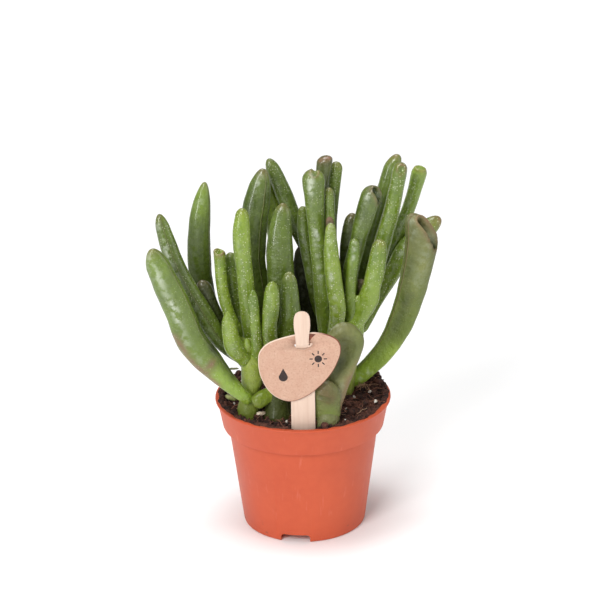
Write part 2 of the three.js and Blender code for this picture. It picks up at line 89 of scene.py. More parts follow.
# %% Light the plant
PLANT_MIDDLE = (0, 0, 0.07)
SOFTBOXES = {
    "softbox_high": ((-0.36, -0.87, 0.8), PLANT_MIDDLE, (0.34, 0.34), 5.6),
    "softbox_tall": ((-0.68, -0.84, 0.36), PLANT_MIDDLE, (0.13, 0.6), 3.2),
    "softbox_right": ((0.9, -0.5, 0.45), PLANT_MIDDLE, (0.6, 0.6), 2.2),
    "softbox_above": ((-0.1, 0.0, 1.1), PLANT_MIDDLE, (0.5, 0.5), 7.0),
    "softbox_far_floor": ((0, 1.8, 1.2), (0, 1.81, 0), (1.4, 1.4), 26.0),
}
NARROW_SPREAD = math.radians(80)
STUDIO_STRENGTH = 0.4
for name, (place, target, (width, height), watts) in SOFTBOXES.items():
    lamp = bpy.data.lights.new(name, "AREA")
    lamp.shape = "RECTANGLE"
    lamp.size = width
    lamp.size_y = height
    lamp.energy = watts
    if name == "softbox_far_floor":
        lamp.spread = NARROW_SPREAD
    box = bpy.data.objects.new(name, lamp)
    box.location = place
    box.rotation_euler = (Vector(target) - Vector(place)).to_track_quat("-Z", "Y").to_euler()
    bpy.context.scene.collection.objects.link(box)

studio = bpy.data.worlds.new("studio")
studio.use_nodes = True
background = studio.node_tree.nodes["Background"]
background.inputs["Color"].default_value = (1, 1, 1, 1)
background.inputs["Strength"].default_value = STUDIO_STRENGTH
bpy.context.scene.world = studio
bpy.context.scene.view_settings.view_transform = "Standard"
print("softboxes:", len(SOFTBOXES))

# %% [markdown]
# Colours are written as the eye reads them, from 0 to 255, and turned into the linear
# values that a shader works with. Small helpers add a node, set or join its sockets, do
# sums and blend colours, so that each finish below reads as a short list of what it does.
# A helper finds the tree it works in from the sockets it is given.

# %% Helpers for colours and nodes
def seen(red, green, blue):
    shares = [value / 255 for value in (red, green, blue)]
    return tuple(s / 12.92 if s < 0.04 else ((s + 0.055) / 1.055) ** 2.4 for s in shares) + (1.0,)


def set_or_join(socket, value):
    if isinstance(value, bpy.types.NodeSocket):
        socket.id_data.links.new(value, socket)
    else:
        socket.default_value = value


def tree_of(*values):
    return next(value.id_data for value in values if isinstance(value, bpy.types.NodeSocket))


def add_node(tree, kind, inputs=None, **settings):
    node = tree.nodes.new(kind)
    for name, value in settings.items():
        setattr(node, name, value)
    for name, value in (inputs or {}).items():
        set_or_join(node.inputs[name], value)
    return node


# %% Helpers for sums and blends
def worked(kind, first, second=None, clamp=False):
    inputs = {0: first} if second is None else {0: first, 1: second}
    tree = tree_of(first, second)
    return add_node(tree, "ShaderNodeMath", inputs, operation=kind, use_clamp=clamp).outputs[0]


def total(*parts, clamp=False):
    so_far = parts[0]
    for part in parts[1:-1]:
        so_far = worked("ADD", so_far, part)
    return worked("ADD", so_far, parts[-1], clamp)


def product(so_far, *parts):
    for part in parts:
        so_far = worked("MULTIPLY", so_far, part)
    return so_far


def blended(share, low, high, kind="MIX"):
    tree, inputs = tree_of(share, low, high), {0: share, 6: low, 7: high}
    return add_node(tree, "ShaderNodeMix", inputs, data_type="RGBA", blend_type=kind).outputs[2]


def tinted(colour, tint, mask, share):
    return blended(product(mask, share), colour, tint)


def between(value, low, high, start=0.0, end=1.0):
    return add_node(
        tree_of(value), "ShaderNodeMapRange", interpolation_type="SMOOTHSTEP",
        inputs={"Value": value, "From Min": low, "From Max": high, "To Min": start, "To Max": end},
    ).outputs["Result"]


def stretched(vector, shares):
    inputs = {"Vector": vector, "Scale": shares}
    return add_node(tree_of(vector), "ShaderNodeMapping", inputs).outputs["Vector"]


def noise(place, scale, detail):
    inputs = {"Vector": place, "Scale": scale, "Detail": detail}
    return add_node(tree_of(place), "ShaderNodeTexNoise", inputs).outputs["Fac"]


# %% Helpers that start and end a finish
def new_finish(name):
    finish = bpy.data.materials.new(name)
    finish.use_nodes = True
    place = add_node(finish.node_tree, "ShaderNodeTexCoord").outputs["Object"]
    return finish, finish.node_tree, place


def shade_with(tree, sockets, bump=None):
    if bump:
        height, strength, depth = bump
        bumped = add_node(tree, "ShaderNodeBump", {"Height": height, "Strength": strength, "Distance": depth})
        sockets = {**sockets, "Normal": bumped.outputs["Normal"]}
    for name, value in sockets.items():
        set_or_join(tree.nodes["Principled BSDF"].inputs[name], value)


print("peat brown as a shader sees it:", [round(value, 3) for value in seen(96, 56, 42)])

# %% [markdown]
# Three effects are shared by many finishes, so each is a group: soft mottling from noise,
# the pale dots that a hobbit jade has all over its skin, and the fine line where the two
# halves of a rolled leaf meet. Noise is used for mottling because real skin never repeats,
# and round cells for the dots because the real ones keep their distance.

# %% Group for soft mottling
def start_tree(name, kind, takes, gives):
    tree = bpy.data.node_groups.new(name, kind)
    for label, holds, value in takes:
        socket = tree.interface.new_socket(label, in_out="INPUT", socket_type="NodeSocket" + holds)
        if value is not None:
            socket.default_value = value
    label, holds = gives
    tree.interface.new_socket(label, in_out="OUTPUT", socket_type="NodeSocket" + holds)
    given = tree.nodes.new("NodeGroupInput").outputs
    return tree, given, tree.nodes.new("NodeGroupOutput").inputs[label]


mottling, given, result = start_tree("mottling", "ShaderNodeTree", [
    ("Vector", "Vector", None), ("Scale", "Float", 100.0), ("Low", "Float", 0.35), ("High", "Float", 0.65),
], ("Mask", "Float"))
cloud = add_node(mottling, "ShaderNodeTexNoise", {
    "Vector": given["Vector"], "Scale": given["Scale"], "Detail": 3.0, "Roughness": 0.55,
})
mottling.links.new(between(cloud.outputs["Fac"], given["Low"], given["High"]), result)


def mottled(place, scale, low, high):
    inputs = {"Vector": place, "Scale": scale, "Low": low, "High": high}
    return add_node(tree_of(place), "ShaderNodeGroup", inputs, node_tree=mottling).outputs[0]


print("group:", mottling.name)

# %% Group for the pale dots
pale_dots, given, result = start_tree("pale_dots", "ShaderNodeTree", [
    ("Vector", "Vector", None), ("Scale", "Float", 700.0), ("Size", "Float", 0.3), ("Cover", "Float", 0.5),
], ("Mask", "Float"))
cells = add_node(pale_dots, "ShaderNodeTexVoronoi", {
    "Vector": given["Vector"], "Scale": given["Scale"], "Randomness": 0.85,
})
half_size = product(given["Size"], 0.45)
dot = between(cells.outputs["Distance"], half_size, given["Size"], 1.0, 0.0)
chance = add_node(pale_dots, "ShaderNodeSeparateColor", {"Color": cells.outputs["Color"]}).outputs
kept = worked("LESS_THAN", chance["Red"], given["Cover"])
strength = total(product(chance["Green"], 0.7), 0.3)
pale_dots.links.new(product(dot, strength, kept), result)
print("group:", pale_dots.name)

# %% Group for the leaf's margin line
margin_line, given, result = start_tree("margin_line", "ShaderNodeTree", [
    ("Turn", "Float", 0.0), ("Width", "Float", 0.02),
], ("Mask", "Float"))
half_turns = total(product(given["Turn"], 2.0), 0.5)
folded = worked("SUBTRACT", worked("FRACT", half_turns), 0.5)
distance = worked("ABSOLUTE", folded)
margin_line.links.new(between(distance, 0.0, given["Width"], 1.0, 0.0), result)
print("group:", margin_line.name)

# %% [markdown]
# A leaf's skin is the plant's main finish. Under a clear waxy coat the green runs from a
# deep tone to a light one in cloudy patches. Fine pale dots stand a little proud, in drifts
# and not evenly. The margin line is lighter, the tips and lips blush reddish brown, and
# hollows get painted shade in a deep green. The base of a leaf is young and brighter green,
# and some leaves carry a broken streak of pale wax with painted glints, on the side where
# the highlight falls. Seven numbers are stored on each leaf's own mesh, so that one recipe
# serves them all: how light it is, how much it blushes, how much painted shade darkens it,
# and where it has painted hollow shade, wax and painted glints, young green or dots. A
# shaded base is also less glossy, because other leaves stand where it would mirror the
# bright studio.

# %% Recipe for the leaf finishes
BLUSH = seen(128, 90, 70)
DOT = seen(226, 234, 184)
# pale wax colour, also used for painted glints
WAX_AND_GLINT = seen(186, 196, 172)
YOUNG = seen(116, 144, 30)
# deep green of the painted shade in hollows
HOLLOW_SHADE = seen(40, 54, 24)
LEAF_NUMBERS = ("tone", "blush", "shade", "hollow", "wax", "young", "speck")


def leaf_finish(name, deep, light, margin, bloom, rough, dotted, gloss):
    finish, tree, place = new_finish(name)
    around = add_node(tree, "ShaderNodeUVMap", uv_map="leaf_map").outputs["UV"]
    turn = add_node(tree, "ShaderNodeSeparateXYZ", {"Vector": around}).outputs["X"]
    tone, blush, shade, hollow, wax, young, speck = (
        add_node(tree, "ShaderNodeAttribute", attribute_name=label).outputs["Fac"]
        for label in LEAF_NUMBERS
    )
    uneven = mottled(place, 420.0, 0.25, 0.7)
    patches = product(mottled(place, 120.0, 0.3, 0.7), 0.3)
    streaks = product(mottled(stretched(around, (7.0, 1.6, 1.0)), 1.6, 0.35, 0.7), 0.12)
    lighter = worked("SUBTRACT", tone, 0.29)
    lightness = total(patches, product(uneven, 0.16), streaks, lighter, clamp=True)
    colour = blended(lightness, seen(*deep), seen(*light))
    colour = tinted(colour, seen(*bloom), mottled(place, 48.0, 0.42, 0.75), 0.22)
    colour = blended(young, colour, YOUNG)
    line = add_node(tree, "ShaderNodeGroup", {"Turn": turn, "Width": 0.03}, node_tree=margin_line).outputs[0]
    colour = tinted(colour, seen(*margin), line, 0.55)
    # painted shade: hollows, dents and shaded flanks are blended towards a deep green
    colour = blended(hollow, colour, HOLLOW_SHADE)
    # painted glints: broken patches of pale wax colour where highlights fall
    colour = tinted(colour, WAX_AND_GLINT, wax, mottled(place, 440.0, 0.4, 0.62))
    patchy_blush = product(blush, product(uneven, 0.5))
    reddened = total(patchy_blush, product(blush, 0.5), clamp=True)
    colour = blended(reddened, colour, BLUSH)
    dots = add_node(tree, "ShaderNodeGroup", {
        "Vector": place, "Scale": 1300.0, "Size": 0.37, "Cover": 0.66,
    }, node_tree=pale_dots).outputs[0]
    dots = product(dots, mottled(place, 95.0, 0.32, 0.52), speck)
    colour = tinted(colour, DOT, dots, dotted)
    # painted shade: the colour is multiplied down by the stored shade, and painted lighter where it is below
    # nought
    lit = worked("SUBTRACT", 1.0, shade)
    lit = add_node(tree, "ShaderNodeCombineColor", {"Red": lit, "Green": lit, "Blue": lit})
    colour = blended(1.0, colour, lit.outputs["Color"], "MULTIPLY")
    height = total(product(dots, 0.5), noise(place, 560.0, 2.0), product(line, 0.6))
    shade_with(tree, {
        "Base Color": colour,
        "Roughness": between(uneven, 0.0, 1.0, rough, rough + 0.14),
        "Specular IOR Level": between(shade, 0.0, 0.8, 0.42, 0.04),
        "Coat Weight": between(shade, 0.0, 0.8, gloss, 0.03),
        "Coat Roughness": 0.12,
    }, bump=(height, 0.8, 0.0008))
    return finish


# %% [markdown]
# Each leaf finish has four colours, which are its deep and light green, its margin line
# and the cloudy bloom. Three numbers follow: how rough it is, how much its dots show and
# how strong the clear coat is.

# %% Mix the five leaf finishes and the stem's
LEAF_LOOKS = {
    "leaf_mid": ((46, 66, 12), (112, 138, 42), (152, 152, 96), (96, 112, 52), 0.3, 0.55, 0.6),
    "leaf_light": ((84, 112, 12), (158, 182, 58), (184, 190, 112), (124, 142, 52), 0.3, 0.95, 0.6),
    # a darker copy of the leaf green for leaves and a stem deep in the cluster: painted shade
    "leaf_shade": ((32, 40, 14), (84, 98, 38), (126, 118, 78), (76, 84, 44), 0.34, 0.3, 0.6),
    "leaf_grey": ((68, 78, 34), (122, 126, 74), (144, 124, 88), (106, 102, 62), 0.46, 0.22, 0.1),
    "leaf_dull": ((60, 54, 34), (112, 102, 68), (130, 114, 82), (98, 88, 64), 0.5, 0.15, 0.2),
    "stem_green": ((80, 104, 16), (150, 168, 60), (158, 162, 84), (130, 142, 64), 0.46, 0.3, 0.15),
}
LEAF_FINISHES = {name: leaf_finish(name, *look) for name, look in LEAF_LOOKS.items()}
print("leaf finishes:", sorted(LEAF_FINISHES))

# %% [markdown]
# Leaves and stems are all the same kind of thing: a closed skin along a curved path. Their
# paths, widths and thicknesses are read back from the measured solids, ring by ring, from
# the base to the tip, so that a change in those carries through to the looks.

# %% Read the rings of a measured leaf or stem
FRONT = np.array((0, -1, 0.35)) / math.hypot(1, 0.35)
TALLEST_SINE = math.sin(math.radians(72))


def unit(vector):
    return vector / np.linalg.norm(vector)


def rings_of(node, sides, root_near):
    mesh = bmesh.new()
    mesh.from_mesh(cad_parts[node].data)
    bmesh.ops.remove_doubles(mesh, verts=mesh.verts, dist=1e-6)
    poles = [v for v in mesh.verts if len(v.link_edges) == sides]
    poles.sort(key=lambda v: root_near(np.array(v.co)))
    level, seen_before, levels = [poles[0]], {poles[0]}, []
    while level:
        levels.append(np.array([v.co for v in level]))
        following = []
        for vert in level:
            for edge in vert.link_edges:
                other = edge.other_vert(vert)
                if other not in seen_before:
                    seen_before.add(other)
                    following.append(other)
        level = following
    mesh.free()
    return levels


def measure_ring(ring, ahead):
    tangent = np.linalg.svd(ring - ring.mean(axis=0))[2][2]
    tangent = tangent if tangent @ ahead > 0 else -tangent
    side = unit(np.cross(FRONT, tangent))
    face = np.cross(tangent, side)
    half_width, half_depth = (np.abs((ring - ring.mean(axis=0)) @ way).max() for way in (side, face))
    return half_width, half_depth / TALLEST_SINE


levels = rings_of("stem_left", 12, lambda point: point[2])
print("stem_left rings:", [len(level) for level in levels])

# %% [markdown]
# Between the measured rings the path runs on as a smooth curve. Each station on it keeps
# four vectors: where the centre is, how far the skin reaches across, how far it reaches
# outwards, and how far its front is pressed in. A finger leaf ends in a long rounded cap. A
# trumpet leaf is measured up to its mouth, and its swollen end is a blunt dome over it.

# %% Turn rings into stations
STEM_SIDES = 12
LEAF_SIDES = 10
FIRST_RING_SHARE = 0.71
LAST_RING_SHARES = (0.89, 0.56)


def smooth(at, marks, rows):
    slopes = np.gradient(rows, marks, axis=0)
    k = np.clip(np.searchsorted(marks, at) - 1, 0, len(marks) - 2)
    gap = (marks[k + 1] - marks[k])[:, None]
    t = (at[:, None] - marks[k][:, None]) / gap
    start = (1 + 2 * t) * (1 - t) ** 2 * rows[k] + t * (1 - t) ** 2 * gap * slopes[k]
    end = t * t * (3 - 2 * t) * rows[k + 1] + t * t * (t - 1) * gap * slopes[k + 1]
    return start + end


def read_path(node, sides, root_near, tip):
    levels = rings_of(node, sides, root_near)
    rings = levels[1:-2] if tip == "trumpet" else levels[1:-1]
    centres = [ring.mean(axis=0) for ring in rings]
    last = len(rings) - 1
    aheads = [centres[min(k + 1, last)] - centres[max(k - 1, 0)] for k in range(len(rings))]
    halves = np.array([measure_ring(ring, ahead) for ring, ahead in zip(rings, aheads)])
    shares = np.ones(len(rings))
    if sides == LEAF_SIDES:
        shares[0] = FIRST_RING_SHARE
    if tip == "finger":
        shares[-2:] = LAST_RING_SHARES
    halves = halves / shares[:, None]
    points = [levels[0][0], *centres]
    halves = [halves[0], *halves]
    if tip != "trumpet":
        points.append(levels[-1][0])
        halves.append(halves[-1])
    steps = np.linalg.norm(np.diff(points, axis=0), axis=1)
    return np.concatenate([[0], np.cumsum(steps)]), np.hstack([points, halves])


# %% [markdown]
# A station's list of shares says how wide the skin is at each distance along the path. The
# base starts inside the stem, because a real leaf grows out of it without a gap, and it is
# rounded where it shows. The body keeps the measured width with a slight unevenness. The
# cap at the tip narrows like a quarter circle, stretched for a pointed leaf.

# %% Lay stations from the base to the tip
BASE_STATIONS = 5
BODY_STATIONS = 34
BASE_CAP = 1.8 * MM
NECK_REACH = 5 * MM
SWAY_RATES = (0.21, 0.43, 0.83)


def base_stations(sink, end, neck):
    turn = np.linspace(0, math.pi / 2, BASE_STATIONS)
    cap_at = -sink + BASE_CAP * (1 - np.cos(turn))
    body_at = np.linspace(-sink + BASE_CAP, end, BODY_STATIONS)[1:]
    at = np.concatenate([cap_at, body_at])
    rounded = np.concatenate([np.sin(turn), np.ones(len(body_at))])
    along_neck = np.clip((at + sink) / (sink + NECK_REACH), 0, 1)
    return at, rounded * (neck + (1 - neck) * (1 - (1 - along_neck) ** 2))


def cap_stations(start, end, blunt, count):
    turn = np.linspace(0, math.pi / 2, count + 1)[1:]
    return start + (end - start) * np.sin(turn), np.cos(turn).clip(0) ** blunt


def sway(marks, seed, amount):
    turns = np.random.default_rng(seed).uniform(0, 2 * math.pi, len(SWAY_RATES))
    waves = sum(np.sin(marks * rate / MM + turn) for rate, turn in zip(SWAY_RATES, turns))
    return 1 + amount * waves / len(SWAY_RATES)


print("stations before the tip:", BASE_STATIONS + BODY_STATIONS - 1)

# %% [markdown]
# The stations become a short line of points that carries the vectors as attributes. One
# Geometry Nodes tree then rolls a flat grid round that line, like a sheet of pastry round
# a rod: a grid column is a turn round the leaf, and a grid row is a station. A tree suits
# this because every leaf follows the same rule with other numbers.

# %% Build the tree that rolls a skin round a path
# painted glint streak: where round a leaf its highlight is painted, and how wide
GLINT_TURN = 0.2
GLINT_SPREAD = 0.05
CLOSING_DISTANCE = 0.004 * MM


def end_tree(tree, geometry, finish, result):
    real = add_node(tree, "GeometryNodeRealizeInstances", {"Geometry": geometry}).outputs["Geometry"]
    finished = add_node(tree, "GeometryNodeSetMaterial", {"Geometry": real, "Material": finish})
    tree.links.new(finished.outputs["Geometry"], result)


def rolled_skin_tree():
    tree, given, result = start_tree("rolled_skin", "GeometryNodeTree", [
        ("Path", "Geometry", None), ("Stations", "Int", None), ("Around", "Int", None),
        ("Finish", "Material", None),
    ], ("Skin", "Geometry"))
    skin = add_node(tree, "GeometryNodeMeshGrid", {
        "Size X": 1.0, "Size Y": 1.0,
        "Vertices X": total(given["Around"], 1), "Vertices Y": given["Stations"],
    }).outputs["Mesh"]
    position = add_node(tree, "GeometryNodeInputPosition").outputs[0]
    place = add_node(tree, "ShaderNodeSeparateXYZ", {"Vector": position}).outputs
    turn = total(place["X"], 0.5)
    last = worked("SUBTRACT", given["Stations"], 1)
    row = worked("ROUND", product(total(place["Y"], 0.5), last))

    def sampled(label, kind="FLOAT"):
        field = position
        if label != "centre":
            named = add_node(tree, "GeometryNodeInputNamedAttribute", {"Name": label}, data_type=kind)
            field = named.outputs["Attribute"]
        return add_node(tree, "GeometryNodeSampleIndex", {
            "Geometry": given["Path"], "Value": field, "Index": row,
        }, data_type=kind, domain="POINT").outputs["Value"]

    def stored(label, value, kind="FLOAT", domain="POINT"):
        return add_node(tree, "GeometryNodeStoreNamedAttribute", {
            "Geometry": skin, "Name": label, "Value": value,
        }, data_type=kind, domain=domain).outputs["Geometry"]

    angle = product(turn, 2 * math.pi)
    sine = worked("SINE", angle)
    front = worked("POWER", worked("MAXIMUM", sine, 0.0), 4.0)
    spot = sampled("centre", "FLOAT_VECTOR")
    for label, amount in (("across", worked("COSINE", angle)), ("outward", sine), ("pressed", front)):
        push = add_node(tree, "ShaderNodeVectorMath", {
            0: sampled(label, "FLOAT_VECTOR"), "Scale": amount,
        }, operation="SCALE").outputs[0]
        spot = add_node(tree, "ShaderNodeVectorMath", {0: spot, 1: push}, operation="ADD").outputs[0]
    # the painted glint streak runs along the left front of a leaf, and painted hollow shade lies only on the
    # front face
    beside = worked("DIVIDE", worked("SUBTRACT", turn, GLINT_TURN), GLINT_SPREAD)
    glint_streak = worked("EXPONENT", product(worked("POWER", beside, 2.0), -1.0))
    only_on = {"hollow": front, "wax": glint_streak}
    for label in LEAF_NUMBERS:
        amount = sampled(label)
        skin = stored(label, product(amount, only_on[label]) if label in only_on else amount)
    sheet = {"X": total(turn, sampled("turned")), "Y": sampled("along")}
    skin = stored("leaf_map", add_node(tree, "ShaderNodeCombineXYZ", sheet).outputs[0], "FLOAT2", "CORNER")
    for kind, inputs in (
        ("GeometryNodeSetPosition", {"Position": spot}),
        ("GeometryNodeMergeByDistance", {"Distance": CLOSING_DISTANCE}),
        ("GeometryNodeSetShadeSmooth", {}),
    ):
        skin = add_node(tree, kind, {"Geometry": skin, **inputs}).outputs["Geometry"]
    end_tree(tree, skin, given["Finish"], result)
    return tree


rolled_skin = rolled_skin_tree()
print("tree:", rolled_skin.name, len(rolled_skin.nodes), "nodes")

# %% Helpers that keep a mesh and hand a piece over
def kept_mesh(name, shape):
    mesh = bpy.data.meshes.new(name)
    shape.to_mesh(mesh)
    shape.free()
    return mesh


def link_piece(name, mesh):
    piece = bpy.data.objects.new(name, mesh)
    bpy.context.scene.collection.objects.link(piece)
    return piece


def keep_result(piece, modifier):
    evaluated = piece.evaluated_get(bpy.context.evaluated_depsgraph_get())
    plain = bpy.data.meshes.new_from_object(evaluated)
    piece.modifiers.remove(modifier)
    piece.data = plain


def grown_by(tree, name, start_mesh, **values):
    piece = link_piece(name, start_mesh)
    modifier = piece.modifiers.new("grow", "NODES")
    modifier.node_group = tree
    for item in tree.interface.items_tree:
        if item.in_out == "INPUT" and item.name in values:
            modifier[item.identifier] = values[item.name]
    keep_result(piece, modifier)
    piece.data.name = name
    return piece


def point_outwards(mesh):
    shape = bmesh.new()
    shape.from_mesh(mesh)
    bmesh.ops.recalc_face_normals(shape, faces=shape.faces)
    if shape.calc_volume(signed=True) < 0:
        bmesh.ops.reverse_faces(shape, faces=shape.faces)
    shape.to_mesh(mesh)
    shape.free()


def hand_over(piece, slot, *nodes):
    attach(piece, "root")
    if nodes:
        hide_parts(*nodes)


# %% Write a path's stations and roll its skin
def roll_skin(name, finish, stations, around):
    mesh = bpy.data.meshes.new(name + "_path")
    count = len(stations["centre"])
    mesh.from_pydata(stations["centre"].tolist(), [(k, k + 1) for k in range(count - 1)], [])
    for label in ("across", "outward", "pressed"):
        vectors = mesh.attributes.new(label, "FLOAT_VECTOR", "POINT")
        vectors.data.foreach_set("vector", stations[label].astype(np.float32).ravel())
    for label in (*LEAF_NUMBERS, "turned", "along"):
        values = np.broadcast_to(np.asarray(stations[label], np.float32), count)
        mesh.attributes.new(label, "FLOAT", "POINT").data.foreach_set("value", values)
    finish = LEAF_FINISHES[finish]
    piece = grown_by(rolled_skin, name, mesh, Stations=count, Around=around, Finish=finish)
    point_outwards(piece.data)
    return piece


# %% [markdown]
# A few leaves end in something more: a slot across a rounded end, or a dimple. Those are
# pressed into the finished skin like a thumb into clay: points near a line move inwards,
# the lip round them swells, the blush gathers on it, and painted shade darkens the inside.
# Marks such as a scar or a brown strip are painted in the same way, on the points near a
# line, and so are painted shade, painted light, painted highlights and painted glints.

# %% Press dents and paint marks on a skin
LIP_AT, LIP_SPREAD = 1.15, 0.35
BLUSH_LOST = 0.8


def eased(share):
    return share * share * (3 - 2 * share)


def read_points(mesh):
    points = np.zeros(len(mesh.vertices) * 3)
    mesh.vertices.foreach_get("co", points)
    return points.reshape(-1, 3)


def from_line(points, ends, reach):
    start, end = (points[np.linalg.norm(points - np.array(p) * MM, axis=1).argmin()] for p in ends)
    line = end - start
    share = np.clip((points - start) @ line / max(line @ line, 1e-12), 0, 1)
    return np.linalg.norm(points - start - share[:, None] * line, axis=1) / (reach * MM)


def change(mesh, label, rule):
    values = np.zeros(len(mesh.vertices), np.float32)
    mesh.attributes[label].data.foreach_get("value", values)
    mesh.attributes[label].data.foreach_set("value", rule(values).clip(-1, 1).astype(np.float32))


def press_dent(mesh, start, end, inward, reach, depth, blush, dark, lip=0.25):
    points = read_points(mesh)
    distance = from_line(points, (start, end), reach)
    pressed = eased(np.clip(1 - distance, 0, 1))
    rim = np.exp(-((distance - LIP_AT) / LIP_SPREAD) ** 2)
    inward = unit(np.array(inward, float)) * depth * MM
    points += (pressed - lip * rim)[:, None] * inward
    mesh.vertices.foreach_set("co", points.ravel())
    change(mesh, "blush", lambda values: values * (1 - BLUSH_LOST * pressed) + blush * rim)
    # painted shade: the dark amount darkens the inside of the dent
    change(mesh, "hollow", lambda values: values + dark * pressed)
    mesh.update()


def paint_mark(mesh, label, start, end, reach, amount):
    soft = np.exp(-from_line(read_points(mesh), (start, end), reach) ** 2)
    change(mesh, label, lambda values: values + amount * soft)


# %% [markdown]
# The stems come first, because each leaf starts inside one. They are the same rolled skin
# with a round section, a little knobbly where old leaves have dropped off, and swollen at
# the foot and at the node where the leaves spread. Each swelling is a share of the stem's
# height with a factor for its width.

# %% The table of stems
STEMS = {
    "stem_left": dict(
        finish="stem_green", tone=0.72, shade=(0.72, 0.0),
        swell=((0, 1.15), (0.2, 1.35), (0.35, 1.3), (0.7, 1.35), (0.9, 1.5), (1, 1.5))),
    "stem_middle": dict(
        finish="leaf_shade", tone=1.1, shade=(0.6, 0.5), swell=((0, 1.2), (0.3, 1.15), (1, 1.3))),
    "stem_back": dict(
        finish="stem_green", tone=0.25, shade=(0.6, 0.55), swell=((0, 1), (0.7, 1.2), (1, 1.7))),
    "stem_right": dict(
        finish="stem_green", tone=0.7, shade=(0.2, 0.05), swell=((0, 1), (0.7, 1.1), (1, 1.5))),
    "stalk_front": dict(
        finish="leaf_grey", tone=0.55, shade=(0.15, 0.0), swell=((0, 1.15), (0.6, 1.16), (1, 0.9))),
}
print("stems in the table:", len(STEMS))

# %% Grow the stems
STEM_STATIONS = 40
STEM_END_ROUNDING = 2.2 * MM
STEM_SWAY = 0.05
STEM_AROUND = 32
PATTERNS_PER_METRE = 20
stem_points = {}


def turned_to_front(tangents):
    sides = np.array([unit(np.cross(FRONT, t)) for t in tangents])
    faces = np.array([unit(np.cross(t, s)) for t, s in zip(tangents, sides)])
    return sides, faces


def grow_stem(name, finish, tone, shade, swell):
    marks, rows = read_path(name, STEM_SIDES, lambda point: point[2], "stem")
    stem_points[name] = rows[:, :3]
    at = np.linspace(0, marks[-1], STEM_STATIONS)
    row = smooth(at, marks, rows)
    sides, faces = turned_to_front(np.gradient(row[:, :3], at, axis=0))
    heights, factors = zip(*swell)
    shares = sway(at, len(stem_points), STEM_SWAY) * np.interp(at / marks[-1], heights, factors)
    ends = np.clip(np.minimum(at, marks[-1] - at) / STEM_END_ROUNDING, 0, 1)
    shares = shares * np.sqrt(1 - (1 - ends) ** 2)
    stations = {
        "centre": row[:, :3],
        "across": sides * (row[:, 3] * shares)[:, None],
        "outward": faces * (row[:, 4] * shares)[:, None],
        "pressed": np.zeros((len(at), 3)),
        # stems carry a faint painted glint and no painted hollow shade
        "tone": tone, "hollow": 0.0, "wax": 0.1, "young": 0.0, "speck": 0.8,
        "turned": 0.1, "along": at * PATTERNS_PER_METRE,
        "blush": 0.12 * (1 - at / marks[-1]),
        "shade": shade[1] + (shade[0] - shade[1]) * (1 - at / marks[-1]) ** 2.2,
    }
    return roll_skin(name + "_skin", finish, stations, STEM_AROUND)


stems = {name: grow_stem(name, **look) for name, look in STEMS.items()}
print("stem faces:", sum(len(piece.data.polygons) for piece in stems.values()))

# %% [markdown]
# Every leaf has an entry in the table below: its finish, how light it is, how much its tip
# blushes, how far it stands in the shade at its base and tip (below nought where more
# light reaches it), and where its margin line runs. The point says how long the cap at its
# tip is, in half widths, and the girth factors from base to tip say where it is plumper or
# slimmer than the measured leaf. Lift, sag and aside move a base forward, down or to the
# right by millimetres, and a bow moves the part above it. A leaf that stands deeper is
# further from the camera, on the same line of sight. Trumpet leaves also say how their end
# slants and swells. The words follow the photograph.

# %% The table of leaves
def leaf(finish, tone, blush, shade=(0.15, 0.0), **others):
    return dict(finish=finish, tone=tone, blush=blush, shade=shade, **others)


